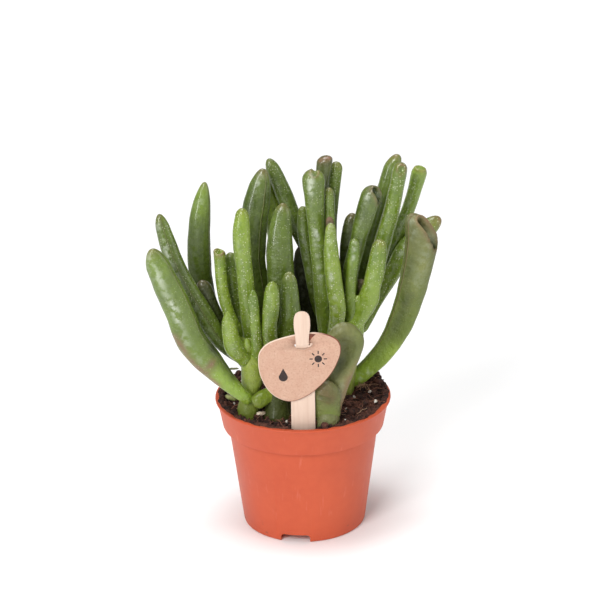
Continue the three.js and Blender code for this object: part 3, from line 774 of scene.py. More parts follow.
LEAVES = {
    "leaf_left_outer": leaf(
        "leaf_mid", 0.55, 0.35, turned=0.1, point=2.2, sink=5.0, neck=0.9, lift=3.4, sag=2.4,
        bow=(-1.1, -0.9), girth=(0.76, 0.82, 0.92, 1, 1, 1, 1, 1, 1, 1, 1), wax=0.5, young=0.7,
        speck=0.35, around=40),
    "leaf_left_second": leaf("leaf_mid", 0.55, 0.3, (0.55, 0.0), turned=0.24, point=2.6, wax=0.5),
    "leaf_left_dark": leaf(
        "leaf_mid", 0.62, 0.3, (1.2, 0.0), turned=0.08, point=4.2, speck=0.2, young=0.2),
    "leaf_left_small_dark": leaf("leaf_shade", 0.5, 0.3, (0.6, 0.2), girth=(1, 1.2, 1.3), speck=0.3),
    "leaf_left_front_short": leaf(
        "leaf_light", 0.35, 0.05, point=2.6, neck=1.0, girth=(1.7, 1.6, 1.1, 1, 0.9)),
    "leaf_left_bud": leaf("leaf_light", 0.5, 0.05),
    "leaf_left_cut_end": leaf(
        "leaf_light", 0.42, 0.35, tip="trumpet", dome=0.35, blunt=0.8, slant=(0.3, -0.3)),
    "leaf_left_behind": leaf("leaf_light", 0.05, 0.2, (0.6, 0.1), girth=(1.8, 1.7, 1.3)),
    "leaf_left_tall": leaf("leaf_light", 0.34, 0.3, (0.2, -0.05), point=1.7, girth=(1.2, 1.0, 1.35)),
    "leaf_left_front_finger": leaf("leaf_light", 0.12, 0.05, point=2.4, girth=(1.5, 1.0, 1.1)),
    "leaf_middle_front_finger": leaf("leaf_light", 0.25, 0.15, (0.35, 0.0), girth=(1.3, 1, 1.2)),
    "leaf_middle_dark_finger": leaf("leaf_mid", 0.5, 0.25, (0.6, -0.2), girth=(1.4, 1, 1), wax=0.0),
    "leaf_middle_broad": leaf(
        "leaf_mid", 0.56, 0.45, (0.65, 0.0), point=2.2, girth=(1.5, 1.3, 1.12, 1.02, 1.08),
        young=0.45),
    "leaf_middle_large": leaf(
        "leaf_mid", 0.45, 0.5, (0.8, 0.0), turned=0.16, point=2.6, wax=0.1, speck=0.3,
        girth=(1.5, 1.35, 1.16, 1.0, 1.06)),
    "leaf_middle_back": leaf(
        "leaf_light", 0.5, 0.3, (0.1, 0.0), turned=0.08, speck=0.3, longer=1.2, girth=(1, 1.15, 1.2)),
    "leaf_middle_stub": leaf(
        "leaf_light", 0.7, 0.2, (0.4, 0.4), sink=4.0, neck=1.0, point=0.8, young=0.0, speck=0.2,
        wax=0.0, girth=(1.15, 1.15, 1.15)),
    "leaf_back_arching": leaf("leaf_mid", 0.6, 0.15, (0.6, 0.0), point=2.4, girth=(1, 1, 1.12)),
    "leaf_back_heart_trumpet": leaf(
        "leaf_mid", 0.66, 0.25, (0.15, -0.05), tip="trumpet", dome=0.5, shoulder=0.6, blunt=0.85,
        bulge=0.12, wax=0.15, young=0.6, around=56, tip_stations=22, girth=(1.2, 1.05, 1.02)),
    "leaf_back_light": leaf(
        "leaf_light", 0.38, 0.25, (0.2, 0.0), point=2.0, girth=(1.3, 0.95, 1.2), wax=0.75, speck=1.3),
    "leaf_back_dark_trumpet": leaf(
        "leaf_shade", 0.9, 0.3, (0.7, 0.0), tip="trumpet", dome=0.5, shoulder=0.4, slant=(-0.25, -0.2),
        speck=0.3, girth=(1, 1.1, 1.2)),
    "leaf_back_slim": leaf("leaf_mid", 0.75, 0.4, (0.5, 0.0), girth=(1, 1.1, 1.3)),
    "leaf_back_narrow": leaf("leaf_mid", 0.75, 0.4, (0.3, 0.0), point=2.6, girth=(1, 1.3, 1.6)),
    "leaf_back_brown_tip": leaf("leaf_dull", 0.5, 0.6, (0.3, 0.0), girth=(1, 1.2, 1.3)),
    "leaf_back_left_slim": leaf("leaf_mid", 0.7, 0.2, (0.6, 0.0), girth=(1.2, 1.2, 1.3), wax=0.4),
    "leaf_back_shaded": leaf(
        "leaf_shade", 0.1, 0.3, (0.8, 0.5), girth=(1.7, 1.5, 1.5), young=0.0, speck=0.2),
    "leaf_right_dimpled": leaf(
        "leaf_mid", 0.36, 0.2, (0.2, 0.0), point=1.4, bulge=0.06, speck=0.35, young=0.9,
        girth=(1.3, 1, 1), around=56, tip_stations=22),
    "leaf_right_inner_dark": leaf("leaf_shade", 0.7, 0.3, (0.5, 0.0), point=2.0, girth=(1, 1.2, 1.5)),
    "leaf_right_pointed_trumpet": leaf(
        "leaf_mid", 0.66, 0.6, (0.6, 0.0), tip="trumpet", dome=0.7, shoulder=1.1, blunt=1.1,
        slant=(-0.5, -0.2), trim=0.8, speck=0.4, young=0.15, wax=0.1),
    "leaf_right_round_trumpet": leaf(
        "leaf_light", 0.2, 0.25, turned=-0.08, tip="trumpet", dome=0.75, shoulder=0.3, bulge=0.06,
        around=56, tip_stations=22),
    "leaf_right_flared": leaf(
        "leaf_mid", 1.0, 0.25, (0.55, -0.3), tip="trumpet", dome=0.6, shoulder=0.5, bulge=0.08,
        young=0.5, wax=0.4),
    "leaf_right_long_back": leaf(
        "leaf_light", 0.4, 0.8, (0.25, 0.0), point=2.6, girth=(0.9, 1.05, 1.5), neck=0.6, wax=0.5,
        young=0.6),
    "leaf_right_front_finger": leaf("leaf_light", 0.2, 0.1, (0.3, 0.0), girth=(1.6, 1, 1.3)),
    "leaf_right_light": leaf(
        "leaf_light", 0.32, 0.4, (0.0, 0.0), young=0.6, turned=-0.06, point=1.4, lift=3.0, aside=-3.6,
        girth=(1.9, 1.15, 1.3)),
    "leaf_right_bud": leaf(
        "leaf_light", 0.4, 0.0, (0.0, 0.0), young=0.9, deeper=3.5, girth=(1.7, 1.6, 1.1)),
    "leaf_right_dull": leaf("leaf_dull", 0.95, 0.1, (0.0, 0.0), lift=3.0, girth=(1.2, 1.5, 1.7)),
    "leaf_right_slot_cup": leaf(
        "leaf_grey", 0.38, 0.3, turned=-0.1, tip="trumpet", dome=0.7, shoulder=0.5, slant=(0.6, 0.1),
        trim=3.2, cup=0.45, cup_reach=(0.02, 0.6), wax=0.0, young=0.95, speck=0.3, around=72,
        tip_stations=30),
    "leaf_front_spoon": leaf(
        "leaf_grey", 0.8, 0.1, (0.0, 0.0), cup=0.9, cup_reach=(0.3, 0.96), thick=1.35, point=1.1,
        sink=5.0, neck=0.9, longer=1.5, girth=(1, 1, 1, 1.06, 1.1), wax=0.0, speck=0.15, young=0.0,
        around=56, tip_stations=18),
    "leaf_front_knob": leaf(
        "leaf_grey", 0.5, 0.15, sink=5.5, neck=1.0, point=1.2, wax=0.0, speck=0.4, young=0.2,
        girth=(1.35, 1.25, 1.1), thick=0.9),
}
print("leaves:", len(LEAVES))

# %% [markdown]
# A leaf is worked out in small steps that all read its entry in the table, or else the
# usual values. The outline lays the stations from the base inside the stem to the end of
# the tip, with the share of the measured width that each has. The bend then moves the
# centres, and a cup presses the front in between two shares of the length.

# %% Lay out, bend and cup one leaf
USUAL_LEAF = dict(
    tip="finger", point=1.8, longer=0.0, dome=0.6, shoulder=0.15, trim=0.0, blunt=0.9, slant=(0.0, 0.0),
    bulge=0.0, sink=3.0, neck=0.95, girth=(1.0, 1.0, 1.0), thick=1.0, cup=0.0, cup_reach=(0.3, 0.98),
    lift=0.0, sag=0.0, aside=0.0, bow=(0.0, 0.0), deeper=0.0, turned=0.02, wax=0.2, young=0.35,
    speck=1.0, around=32, tip_stations=12)
BULGE_BACK, BULGE_REACH = 0.6, 1.3
LIFT_SHARE = 0.35
BOW_AT, BOW_REACH = 0.42, 0.14
LINE_OF_SIGHT = np.array([0.0, 0.925, -0.38])
CUP_STARTS_OVER, CUP_ENDS_OVER = 0.25, 0.2


def leaf_outline(look, path_length, half):
    length = path_length - look.trim * MM
    if look.tip == "trumpet":
        cap_start, cap_end = length - look.shoulder * half, length + look.dome * half
    else:
        cap_start, cap_end = length - look.point * half, length + look.longer * MM
    at, shares = base_stations(look.sink * MM, cap_start, look.neck)
    tip_at, tip_shares = cap_stations(cap_start, cap_end, look.blunt, look.tip_stations)
    at, shares = np.concatenate([at, tip_at]), np.concatenate([shares, tip_shares])
    from_bulge = (at - length + BULGE_BACK * half) / (BULGE_REACH * half)
    shares = shares * (1 + look.bulge * np.exp(-from_bulge ** 2))
    along = np.clip(at / length, 0, 1)
    shares = shares * np.interp(along, np.linspace(0, 1, len(look.girth)), look.girth)
    return length, cap_end, at, along, shares


def bent(look, centres, along):
    low = np.clip(1 - along / LIFT_SHARE, 0, 1)[:, None]
    moved = low * np.array((look.aside, 0, -look.sag)) * MM
    right, up = look.bow
    bowed = np.exp(-((along - BOW_AT) / BOW_REACH) ** 2)[:, None] * np.array((right, 0, up)) * MM
    lifted = FRONT * (low ** 2 * look.lift * MM)
    return centres + lifted + moved + bowed + LINE_OF_SIGHT * look.deeper * MM


def cupped_shares(look, along):
    start, end = look.cup_reach
    begun = np.clip((along - start) / CUP_STARTS_OVER, 0, 1)
    return eased(begun * np.clip((end - along) / CUP_ENDS_OVER, 0, 1))


print("values that a leaf can change:", len(USUAL_LEAF))

# %% Grow the leaves
STEM_OF = {"left": "stem_left", "middle": "stem_middle", "back": "stem_back",
           "right": "stem_right", "front": "stalk_front"}
TIP_REACH = 5 * MM
TANGENT_STEP = 0.1 * MM
MOUTH_REACH = 3
WIDTH_SWAY, DEPTH_SWAY, DEPTH_SEEDS = 0.03, 0.04, 100
BRIGHTEST, DARKEST = -0.6, 0.92


def grow_leaf(name):
    look = SimpleNamespace(**{**USUAL_LEAF, **LEAVES[name]})
    stem = stem_points[STEM_OF[name.split("_")[1]]]
    marks, rows = read_path(
        name, LEAF_SIDES, lambda point: np.linalg.norm(stem - point, axis=1).min(), look.tip)
    half = rows[-1, 3]
    length, cap_end, at, along, shares = leaf_outline(look, marks[-1], half)
    row = smooth(at.clip(0, length), marks, rows)
    near = at.clip(0, length - TANGENT_STEP)
    steps = smooth(near + TANGENT_STEP, marks, rows)[:, :3] - smooth(near, marks, rows)[:, :3]
    tangents = np.array([unit(step) for step in steps])
    sides, faces = turned_to_front(tangents)
    widths = row[:, 3] * shares * sway(at, len(grown), WIDTH_SWAY)
    depths = row[:, 4] * shares * sway(at, len(grown) + DEPTH_SEEDS, DEPTH_SWAY) * look.thick
    mouth = np.clip(1 - (length - at) / (MOUTH_REACH * half), 0, 1) ** 2
    near_tip = np.clip(1 - (cap_end - at) / TIP_REACH, 0, 1)
    beyond = (at - at.clip(0, length))[:, None]
    cupped = cupped_shares(look, along)
    at_base, at_tip = look.shade
    return roll_skin(name + "_skin", look.finish, {
        "centre": bent(look, row[:, :3] + tangents * beyond, along),
        "across": sides * widths[:, None] + tangents * (look.slant[0] * widths * mouth)[:, None],
        "outward": faces * depths[:, None] + tangents * (look.slant[1] * depths * mouth)[:, None],
        "pressed": -faces * (depths * look.cup * cupped)[:, None],
        "tone": look.tone + 0.2 * (0.5 - along),
        "speck": look.speck, "turned": look.turned, "along": at * PATTERNS_PER_METRE,
        "blush": 0.05 + look.blush * near_tip ** 2,
        # painted shade inside the cup of a cupped leaf
        "hollow": min(look.cup, 1) * cupped * 0.4,
        # painted glint along the leaf, strongest past the middle
        "wax": look.wax * np.sin(math.pi * along ** 1.6),
        "young": look.young * (1 - along) ** 1.4,
        "shade": np.clip(at_base + (at_tip - at_base) * along ** 1.2, BRIGHTEST, DARKEST),
    }, look.around)


grown = {}
for name in LEAVES:
    grown[name] = grow_leaf(name)
print("leaf faces:", sum(len(piece.data.polygons) for piece in grown.values()))

# %% [markdown]
# Each dent has a row with the leaf or stem it is in, where its line starts and ends on the
# skin in millimetres, and the way it is pressed. A mark's row has the number that it
# changes, its line, how far it reaches in millimetres and how much it adds there.

# %% The table of dents
# a dent's dark amount is the painted shade inside it
DENTS = [
    ("leaf_right_slot_cup", (40.0, -4.0, 110.4), (44.8, -2.7, 101.7), (-0.5, 0.5, -0.7),
     dict(reach=1.5, depth=3.2, blush=0.55, dark=0.9, lip=0.22)),
    ("leaf_right_dimpled", (25.2, -0.3, 120.0), (26.5, 0.0, 116.0), (-0.6, 0.75, -0.3),
     dict(reach=1.5, depth=1.9, blush=0.35, dark=0.7)),
    ("leaf_back_heart_trumpet", (5.0, -0.3, 126.4), (5.4, 3.5, 127.0), (0, 0, -1),
     dict(reach=1.2, depth=1.3, blush=0.35, dark=0.2, lip=0.1)),
    ("leaf_right_round_trumpet", (33.8, 3.2, 125.4), (33.9, 3.3, 126.0), (0, 1, -0.2),
     dict(reach=1.3, depth=0.6, blush=0.45, dark=0.15)),
    ("leaf_right_flared", (40.4, 15.5, 122.5), (41.4, 15.5, 122.5), (0, 0.2, -1),
     dict(reach=1.5, depth=0.8, blush=0.3, dark=0.2)),
    ("leaf_left_cut_end", (-27.2, -7.0, 101.8), (-26.6, -6.0, 102.0), (0, 0.3, -1),
     dict(reach=1.3, depth=0.9, blush=0.5, dark=0.2)),
    ("leaf_front_knob", (5.8, -25.4, 56.4), (9.3, -26.0, 55.4), (0, 1, 0.2),
     dict(reach=0.9, depth=0.5, blush=0.15, dark=0.25, lip=0.7)),
    ("stem_left", (-17.2, -16.3, 64.7), (-15.2, -15.9, 64.2), (0.1, 1, 0),
     dict(reach=1.0, depth=0.5, blush=0.1, dark=0.0, lip=0.6)),
]
print("dents:", len(DENTS))

# %% The table of marks
MARKS = {
    "leaf_left_outer": [
        ("blush", (-41.8, -20.7, 77.9), (-35.0, -20.1, 66.0), 1.5, 0.9),
        ("blush", (-35.0, -20.1, 66.0), (-28.2, -19.3, 59.7), 1.2, 0.8),
        ("blush", (-33.1, -19.6, 63.6), (-29.6, -20.9, 66.6), 1.4, 0.9),
        # painted shade along the scar and down the right flank
        ("hollow", (-33.1, -19.6, 63.6), (-29.6, -20.9, 66.6), 0.8, 0.3),
        ("hollow", (-41.4, -20.0, 91.3), (-30.1, -19.0, 72.0), 2.0, 0.6),
        ("hollow", (-30.1, -19.0, 72.0), (-24.3, -18.0, 61.0), 2.0, 0.6),
        # the base is painted lighter: painted light, with a young green
        ("tone", (-27.0, -23.0, 61.5), (-17.5, -24.0, 55.0), 3.2, 0.5),
        ("young", (-27.0, -23.0, 61.5), (-17.5, -24.0, 55.0), 3.0, 0.3),
        # painted glints, and a painted highlight at the tip
        ("wax", (-42.4, -26.0, 90.5), (-40.0, -26.0, 83.0), 1.0, 0.7),
        ("wax", (-49.6, -24.0, 106.0), (-46.0, -25.0, 98.0), 1.8, 0.4),
        ("tone", (-49.6, -24.0, 106.0), (-46.0, -25.0, 98.0), 2.4, 0.25),
        # painted light: a shade below nought lightens the base
        ("shade", (-27.0, -23.0, 61.5), (-18.5, -24.0, 56.0), 3.0, -0.3),
    ],
    "leaf_right_slot_cup": [
        # painted shade down the cup's side and base
        ("hollow", (35.5, -6.0, 94.0), (32.5, -6.0, 80.0), 1.8, 0.3),
        ("hollow", (36.5, -4.0, 82.0), (30.5, -3.0, 69.0), 1.8, 0.35),
        ("hollow", (28.5, -5.0, 66.0), (24.0, -5.0, 60.0), 2.0, 0.25),
        # painted highlight on the top and the upper right flank, with painted glints there and on the lower
        # rim
        ("tone", (38.6, -8.0, 112.5), (40.0, -8.0, 108.0), 1.8, 0.5),
        ("tone", (43.5, -8.0, 104.0), (41.5, -8.0, 94.0), 2.6, 0.35),
        ("tone", (41.5, -8.0, 94.0), (38.0, -8.0, 84.0), 2.4, 0.35),
        ("wax", (43.5, -8.0, 104.0), (39.0, -8.0, 86.0), 2.4, 0.16),
        ("wax", (35.0, -8.0, 112.0), (37.0, -8.0, 104.0), 1.6, 0.2),
        ("wax", (16.6, -6.0, 51.8), (22.5, -6.0, 53.5), 1.2, 0.35),
        # painted light: a shade below nought lightens the base
        ("shade", (16.6, -6.0, 52.5), (28.0, -6.0, 62.0), 3.6, -0.8),
    ],
    "leaf_left_dark": [
        # painted highlight at the tip
        ("tone", (-34.4, -6.0, 122.0), (-36.0, -6.0, 114.0), 2.6, 0.6),
        ("wax", (-34.4, -6.0, 122.0), (-35.6, -6.0, 117.0), 1.4, 0.3),
    ],
    # painted glints
    "leaf_left_second": [("wax", (-48.5, -12.0, 112.5), (-43.5, -12.0, 102.0), 0.9, 0.5)],
    "leaf_right_dimpled": [("wax", (20.7, -8.0, 124.0), (20.0, -8.0, 118.0), 1.0, 0.6)],
    "leaf_right_front_finger": [("wax", (17.6, -14.0, 106.0), (17.0, -14.0, 98.0), 0.7, 0.6)],
    "leaf_middle_large": [("wax", (-14.2, -8.0, 128.0), (-15.0, -8.0, 122.0), 1.0, 0.6)],
    "leaf_back_light": [("wax", (9.1, -10.0, 113.5), (9.8, -10.0, 107.0), 1.6, 0.4)],
    "leaf_back_heart_trumpet": [
        ("wax", (2.2, -6.0, 127.0), (2.6, -6.0, 119.5), 1.1, 0.9),
        ("wax", (5.7, -10.0, 107.0), (6.2, -10.0, 100.0), 0.9, 0.7),
        ("wax", (6.2, -10.0, 94.0), (6.4, -10.0, 89.0), 0.8, 0.6),
    ],
    "leaf_back_dark_trumpet": [("blush", (7.2, 8.6, 127.6), (10.2, 9.0, 128.2), 0.9, 0.8)],
    "leaf_front_spoon": [
        # painted shade in the dish, with a young green
        ("hollow", (19.2, -18.3, 75.0), (17.8, -19.2, 69.0), 3.2, 0.3),
        ("young", (18.2, -18.3, 75.0), (15.5, -19.2, 66.0), 3.0, 0.22),
        ("hollow", (12.5, -19.5, 66.0), (10.5, -20.0, 61.5), 1.9, 0.45),
        # painted light in the crease beside the knob
        ("tone", (13.0, -22.0, 55.0), (11.8, -23.0, 48.0), 2.2, 0.5),
        ("blush", (16.0, -20.0, 60.0), (12.5, -22.0, 49.0), 1.8, 0.7),
        ("blush", (18.0, -19.5, 67.0), (15.0, -20.5, 61.0), 1.2, 0.25),
        # painted glints, and a painted highlight along the upper rim
        ("wax", (13.5, -20.5, 59.0), (11.8, -22.5, 50.0), 1.4, 0.2),
        ("wax", (8.3, -18.5, 78.5), (13.0, -18.5, 82.0), 0.6, 0.9),
    ],
    "leaf_front_knob": [
        ("blush", (5.5, -27.0, 61.0), (9.0, -27.0, 57.5), 2.6, 0.4),
        ("shade", (5.5, -27.0, 61.0), (9.0, -27.0, 57.5), 3.0, 0.2),
        ("young", (9.0, -27.0, 49.0), (10.5, -27.0, 45.0), 2.6, 0.3),
    ],
    "leaf_right_long_back": [("blush", (44.0, 15.5, 101.0), (47.5, 17.0, 103.5), 3.0, 0.35)],
    "stem_left": [("tone", (-17.4, -16.3, 64.9), (-15.2, -15.9, 64.2), 1.2, 0.4)],
}
print("marks:", sum(len(rows) for rows in MARKS.values()))

# %% Press the dents and paint the marks
skins = {**grown, **stems}
for name, start, end, inward, amounts in DENTS:
    press_dent(skins[name].data, start, end, inward, **amounts)
for name, rows in MARKS.items():
    for row in rows:
        paint_mark(skins[name].data, *row)
for name, piece in skins.items():
    hand_over(piece, {**LEAVES, **STEMS}[name]["finish"], name)
print("skins handed over:", len(skins))

# %% [markdown]
# The pot is one thin moulded piece. It is turned like a vase: a profile goes once round
# the axis. Small roundings at the foot, step and lip catch light as real moulded edges do.
# The three low recesses at the foot are cut afterwards, with a drain hole in each.

# %% Recipe for the pot's plastic
def pot_finish():
    finish, tree, place = new_finish("pot_plastic")
    cloudy = mottled(place, 28.0, 0.25, 0.75)
    colour = blended(cloudy, seen(184, 76, 46), seen(195, 86, 54))
    colour = tinted(colour, seen(208, 100, 62), mottled(place, 340.0, 0.3, 0.7), 0.14)
    scuff = mottled(stretched(place, (1.0, 1.0, 0.16)), 520.0, 0.62, 0.8)
    colour = tinted(colour, seen(240, 170, 150), scuff, 0.12)
    height = add_node(tree, "ShaderNodeSeparateXYZ", {"Vector": place}).outputs["Z"]
    at_the_foot = between(height, 0.002, 0.007, 0.6, 0.0)
    colour = tinted(colour, seen(118, 66, 50), mottled(place, 210.0, 0.6, 0.68), at_the_foot)
    shade_with(tree, {
        "Base Color": colour, "Roughness": between(cloudy, 0.0, 1.0, 0.44, 0.54),
        "Specular IOR Level": 0.32,
    }, bump=(noise(place, 1300.0, 2.0), 0.22, 0.00006))
    return finish


POT_PLASTIC = pot_finish()

# %% Turn the pot
POT_TURNS = 144
POT_PROFILE = [
    (0, 0), (20.2, 0), (20.6, 0.08), (20.9, 0.3), (21.05, 0.7),
    (25.55, 35.1), (25.62, 35.6), (25.8, 35.88), (26.1, 35.97),
    (27.2, 36.0), (27.5, 36.08), (27.62, 36.35),
    (29.2, 44.7), (29.32, 45.0), (29.6, 45.15), (29.85, 45.22), (29.98, 45.4),
    (29.98, 45.75), (29.85, 45.93), (29.6, 46.0), (28.5, 46.0), (28.3, 45.94), (28.2, 45.75),
    (26.5, 36.4), (24.6, 34.8), (20.0, 1.3), (19.7, 1.2), (0, 1.2),
]


def turned(name, profile, turns):
    shape = bmesh.new()
    angles = [2 * math.pi * k / turns for k in range(turns)]
    rings = []
    for radius, height in profile:
        if radius == 0:
            rings.append([shape.verts.new((0, 0, height * MM))] * turns)
        else:
            rings.append([
                shape.verts.new((radius * MM * math.cos(a), radius * MM * math.sin(a), height * MM))
                for a in angles
            ])
    for low, high in zip(rings, rings[1:]):
        for k in range(turns):
            after = (k + 1) % turns
            shape.faces.new(list(dict.fromkeys([low[k], low[after], high[after], high[k]])))
    mesh = kept_mesh(name, shape)
    point_outwards(mesh)
    return mesh


pot = link_piece("pot_shell", turned("pot_shell", POT_PROFILE, POT_TURNS))
print("pot faces before the recesses:", len(pot.data.polygons))

# %% Tools that cut and fill
def laid_tool(name, shape, centre, turn):
    spin = Matrix.Rotation(turn, 4, "Z") @ Matrix.Translation(Vector(centre) * MM)
    bmesh.ops.transform(shape, matrix=spin, verts=shape.verts)
    return link_piece(name, kept_mesh(name, shape))


def block(name, size, centre, turn, rounding=0.0):
    shape = bmesh.new()
    bmesh.ops.create_cube(shape, size=1)
    bmesh.ops.transform(shape, matrix=Matrix.Diagonal((*[s * MM for s in size], 1)), verts=shape.verts)
    if rounding:
        upper = [edge for edge in shape.edges if all(corner.co.z > 0 for corner in edge.verts)]
        radial = [edge for edge in upper if edge.verts[0].co.y == edge.verts[1].co.y]
        bmesh.ops.bevel(shape, geom=radial, offset=rounding * MM, segments=4, profile=0.5, affect="EDGES")
    return laid_tool(name, shape, centre, turn)


def drill(name, radius, length, centre, turn):
    shape = bmesh.new()
    bmesh.ops.create_cone(
        shape, cap_ends=True, segments=24, radius1=radius * MM, radius2=radius * MM, depth=length * MM)
    return laid_tool(name, shape, centre, turn)


def carve(piece, tool, how):
    step = piece.modifiers.new("carve", "BOOLEAN")
    step.operation = how
    step.solver = "EXACT"
    step.object = tool
    keep_result(piece, step)
    bpy.data.objects.remove(tool)


# %% Cut the recesses and drain holes
RECESS_ANGLES = [math.radians(-99 + 120 * k) for k in range(3)]
RECESS_MIDDLE = 18.25
ROOF_SIZE, ROOF_CENTRE = (5.9, 12.0, 3.5), (RECESS_MIDDLE - 0.8, 0, 2.15)
POCKET_SIZE, POCKET_CENTRE, POCKET_ROUNDING = (7.5, 10.0, 5.8), (RECESS_MIDDLE + 1, 0, 0), 1.1
DRAIN_RADIUS, DRAIN_LENGTH, DRAIN_CENTRE = 1.6, 4, (RECESS_MIDDLE - 0.6, 0, 3.8)
POT_SHARP_FROM = math.radians(38)

for turn in RECESS_ANGLES:
    carve(pot, block("roof", ROOF_SIZE, ROOF_CENTRE, turn), "UNION")
for turn in RECESS_ANGLES:
    carve(pot, block("pocket", POCKET_SIZE, POCKET_CENTRE, turn, POCKET_ROUNDING), "DIFFERENCE")
    carve(pot, drill("drain", DRAIN_RADIUS, DRAIN_LENGTH, DRAIN_CENTRE, turn), "DIFFERENCE")
pot.data.name = "pot_shell"
pot.data.materials.clear()
pot.data.materials.append(POT_PLASTIC)
pot.data.shade_smooth()
pot.data.set_sharp_from_angle(angle=POT_SHARP_FROM)
hand_over(pot, "pot", "pot")
print("pot faces:", len(pot.data.polygons))

# %% [markdown]
# The soil is coarse peat: a dark uneven bed, heaped at the right, with loose crumbs, pale
# fibres and a few white bits on it. The bed is a turned sheet whose top is roughened in
# code. Some of it has spilled on the lip, most of all at the back right, where it hides
# the lip: that is a ring with a ragged rim. What lies on both is scattered by one Geometry
# Nodes tree, run five times with other crumbs, because scattering by hand never looks loose.

# %% Recipe for peat, fibre and white bits
def crumb_finish(name, dark, pale, rough, scale):
    finish, tree, place = new_finish(name)
    colour = blended(mottled(place, scale, 0.35, 0.7), seen(*dark), seen(*pale))
    colour = tinted(colour, seen(*dark), mottled(place, scale * 4, 0.4, 0.75), 0.4)
    grain = noise(place, scale * 5, 4.0)
    shade_with(tree, {"Base Color": colour, "Roughness": rough}, bump=(grain, 0.9, 0.0004))
    return finish


PEAT = crumb_finish("peat", (38, 18, 12), (96, 56, 42), 0.95, 320.0)
STRAW = crumb_finish("straw", (150, 112, 84), (208, 172, 138), 0.8, 700.0)
FIBRE = crumb_finish("fibre", (98, 56, 40), (156, 106, 82), 0.85, 500.0)
WHITE_BIT = crumb_finish("white_bit", (190, 180, 166), (238, 232, 222), 0.8, 600.0)

# %% Shape the top of the peat
SOIL_EDGE = 45.2
SOIL_DOME, SOIL_REACH = 1.2, 27
SOIL_HEAPS = [(1.6, 21, 4, 90), (2.8, 24, 12, 50)]
BACK_RISE, BACK_REACH = 1.2, 26
STICK_DIP, STICK_REACH, STICK_NEAR, STICK_FADE = 1.1, 5.4, 23.6, 2
PEAT_WAVES, WAVES_EACH = ((9.0, 0.35), (4.5, 0.3), (2.2, 0.28), (1.2, 0.2)), 5
WAVE_HEIGHT, WAVE_TURN = 2.2, 6.28
POT_HEIGHT = 46


def before_the_stick(x, y):
    return np.exp(-(x / STICK_REACH) ** 4) * np.clip((-y - STICK_NEAR) / STICK_FADE, 0, 1)


def soil_height(x, y):
    height = SOIL_EDGE + SOIL_DOME * (1 - np.minimum(1, np.hypot(x, y) / SOIL_REACH) ** 2)
    for amount, heap_x, heap_y, spread in SOIL_HEAPS:
        height = height + amount * np.exp(-((x - heap_x) ** 2 + (y - heap_y) ** 2) / spread)
    return height + BACK_RISE * np.clip(y / BACK_REACH, 0, 1) - STICK_DIP * before_the_stick(x, y)


def rough(x, y, seed):
    order = np.random.default_rng(seed)
    height = np.zeros_like(x)
    for size, amount in PEAT_WAVES:
        for _ in range(WAVES_EACH):
            turn, shift = order.uniform(0, 2 * math.pi, 2)
            along = x * math.cos(turn) + y * math.sin(turn)
            height += amount / WAVE_HEIGHT * np.sin(along * WAVE_TURN / size + shift)
    return height


print("peat above the lip at the back right:", round(float(soil_height(24, 12)) - POT_HEIGHT, 1), "mm")

# %% Lay the soil bed
SOIL_RADIUS = 27.85
SOIL_TURNS, SOIL_RINGS = 150, 46
BED_FLOOR, BED_ROUGHNESS, BED_SINK = 3.5, 0.75, 0.25
BED_WALL = [(28.0, 44.0), (26.3, 36.6), (24.3, 34.8), (19.7, BED_FLOOR)]


def closed_sheet(name, points, faces):
    mesh = bpy.data.meshes.new(name)
    mesh.from_pydata((points * MM).tolist(), [], faces)
    point_outwards(mesh)
    mesh.shade_smooth()
    mesh.materials.append(PEAT)
    return link_piece(name, mesh)


def faces_between(firsts, turns):
    return [
        (first + k, second + k, second + (k + 1) % turns, first + (k + 1) % turns)
        for first, second in zip(firsts, firsts[1:]) for k in range(turns)
    ]


def soil_bed():
    radii = SOIL_RADIUS * np.sqrt(np.linspace(0, 1, SOIL_RINGS + 1)[1:])
    angles = 2 * math.pi * np.arange(SOIL_TURNS) / SOIL_TURNS
    x = (radii[:, None] * np.cos(angles)).ravel()
    y = (radii[:, None] * np.sin(angles)).ravel()
    top = np.column_stack([x, y, soil_height(x, y) + rough(x, y, 7) * BED_ROUGHNESS - BED_SINK])
    walls = [
        np.column_stack([r * np.cos(angles), r * np.sin(angles), np.full(SOIL_TURNS, h)])
        for r, h in BED_WALL
    ]
    points = np.vstack([[(0, 0, soil_height(0, 0))], top, *walls, [(0, 0, BED_FLOOR)]])
    firsts = [1 + ring * SOIL_TURNS for ring in range(SOIL_RINGS + len(BED_WALL))]
    last = len(points) - 1
    faces = [(0, 1 + k, 1 + (k + 1) % SOIL_TURNS) for k in range(SOIL_TURNS)]
    faces += faces_between(firsts, SOIL_TURNS)
    faces += [(last, firsts[-1] + (k + 1) % SOIL_TURNS, firsts[-1] + k) for k in range(SOIL_TURNS)]
    return closed_sheet("soil_bed", points, faces)


soil = soil_bed()
hand_over(soil, "peat", "soil")
print("soil faces:", len(soil.data.polygons))

# %% Spill some peat on the lip
LIP_TOP = 46.0
SPILL_START, SPILL_EDGE, SPILL_LIMITS = 27.2, 28.75, (28.2, 29.7)
SPILL_TURNS, SPILL_RINGS = 240, 7
SPILL_SINK, SPILL_THINNEST, SPILL_GAP, SPILL_UNDER = 0.2, 0.25, 0.02, 0.15
SPILL_ROUGHNESS, SPILL_FALL = 0.5, 2.2
RAGGED, RAGGED_AMOUNT = [(5, 0.4), (9, 2.1), (14, 4.4), (23, 1.2), (37, 5.3)], 0.16
WIDER_AT = [(0.9, 0.35, 0.5), (0.4, math.pi, 0.7)]


def spill_reach(angles):
    ragged = sum(RAGGED_AMOUNT * np.sin(count * angles + shift) for count, shift in RAGGED)
    wider = sum(
        amount * np.exp(-(np.angle(np.exp(1j * (angles - middle))) / spread) ** 2)
        for amount, middle, spread in WIDER_AT
    )
    return np.clip(SPILL_EDGE + ragged + wider, *SPILL_LIMITS)


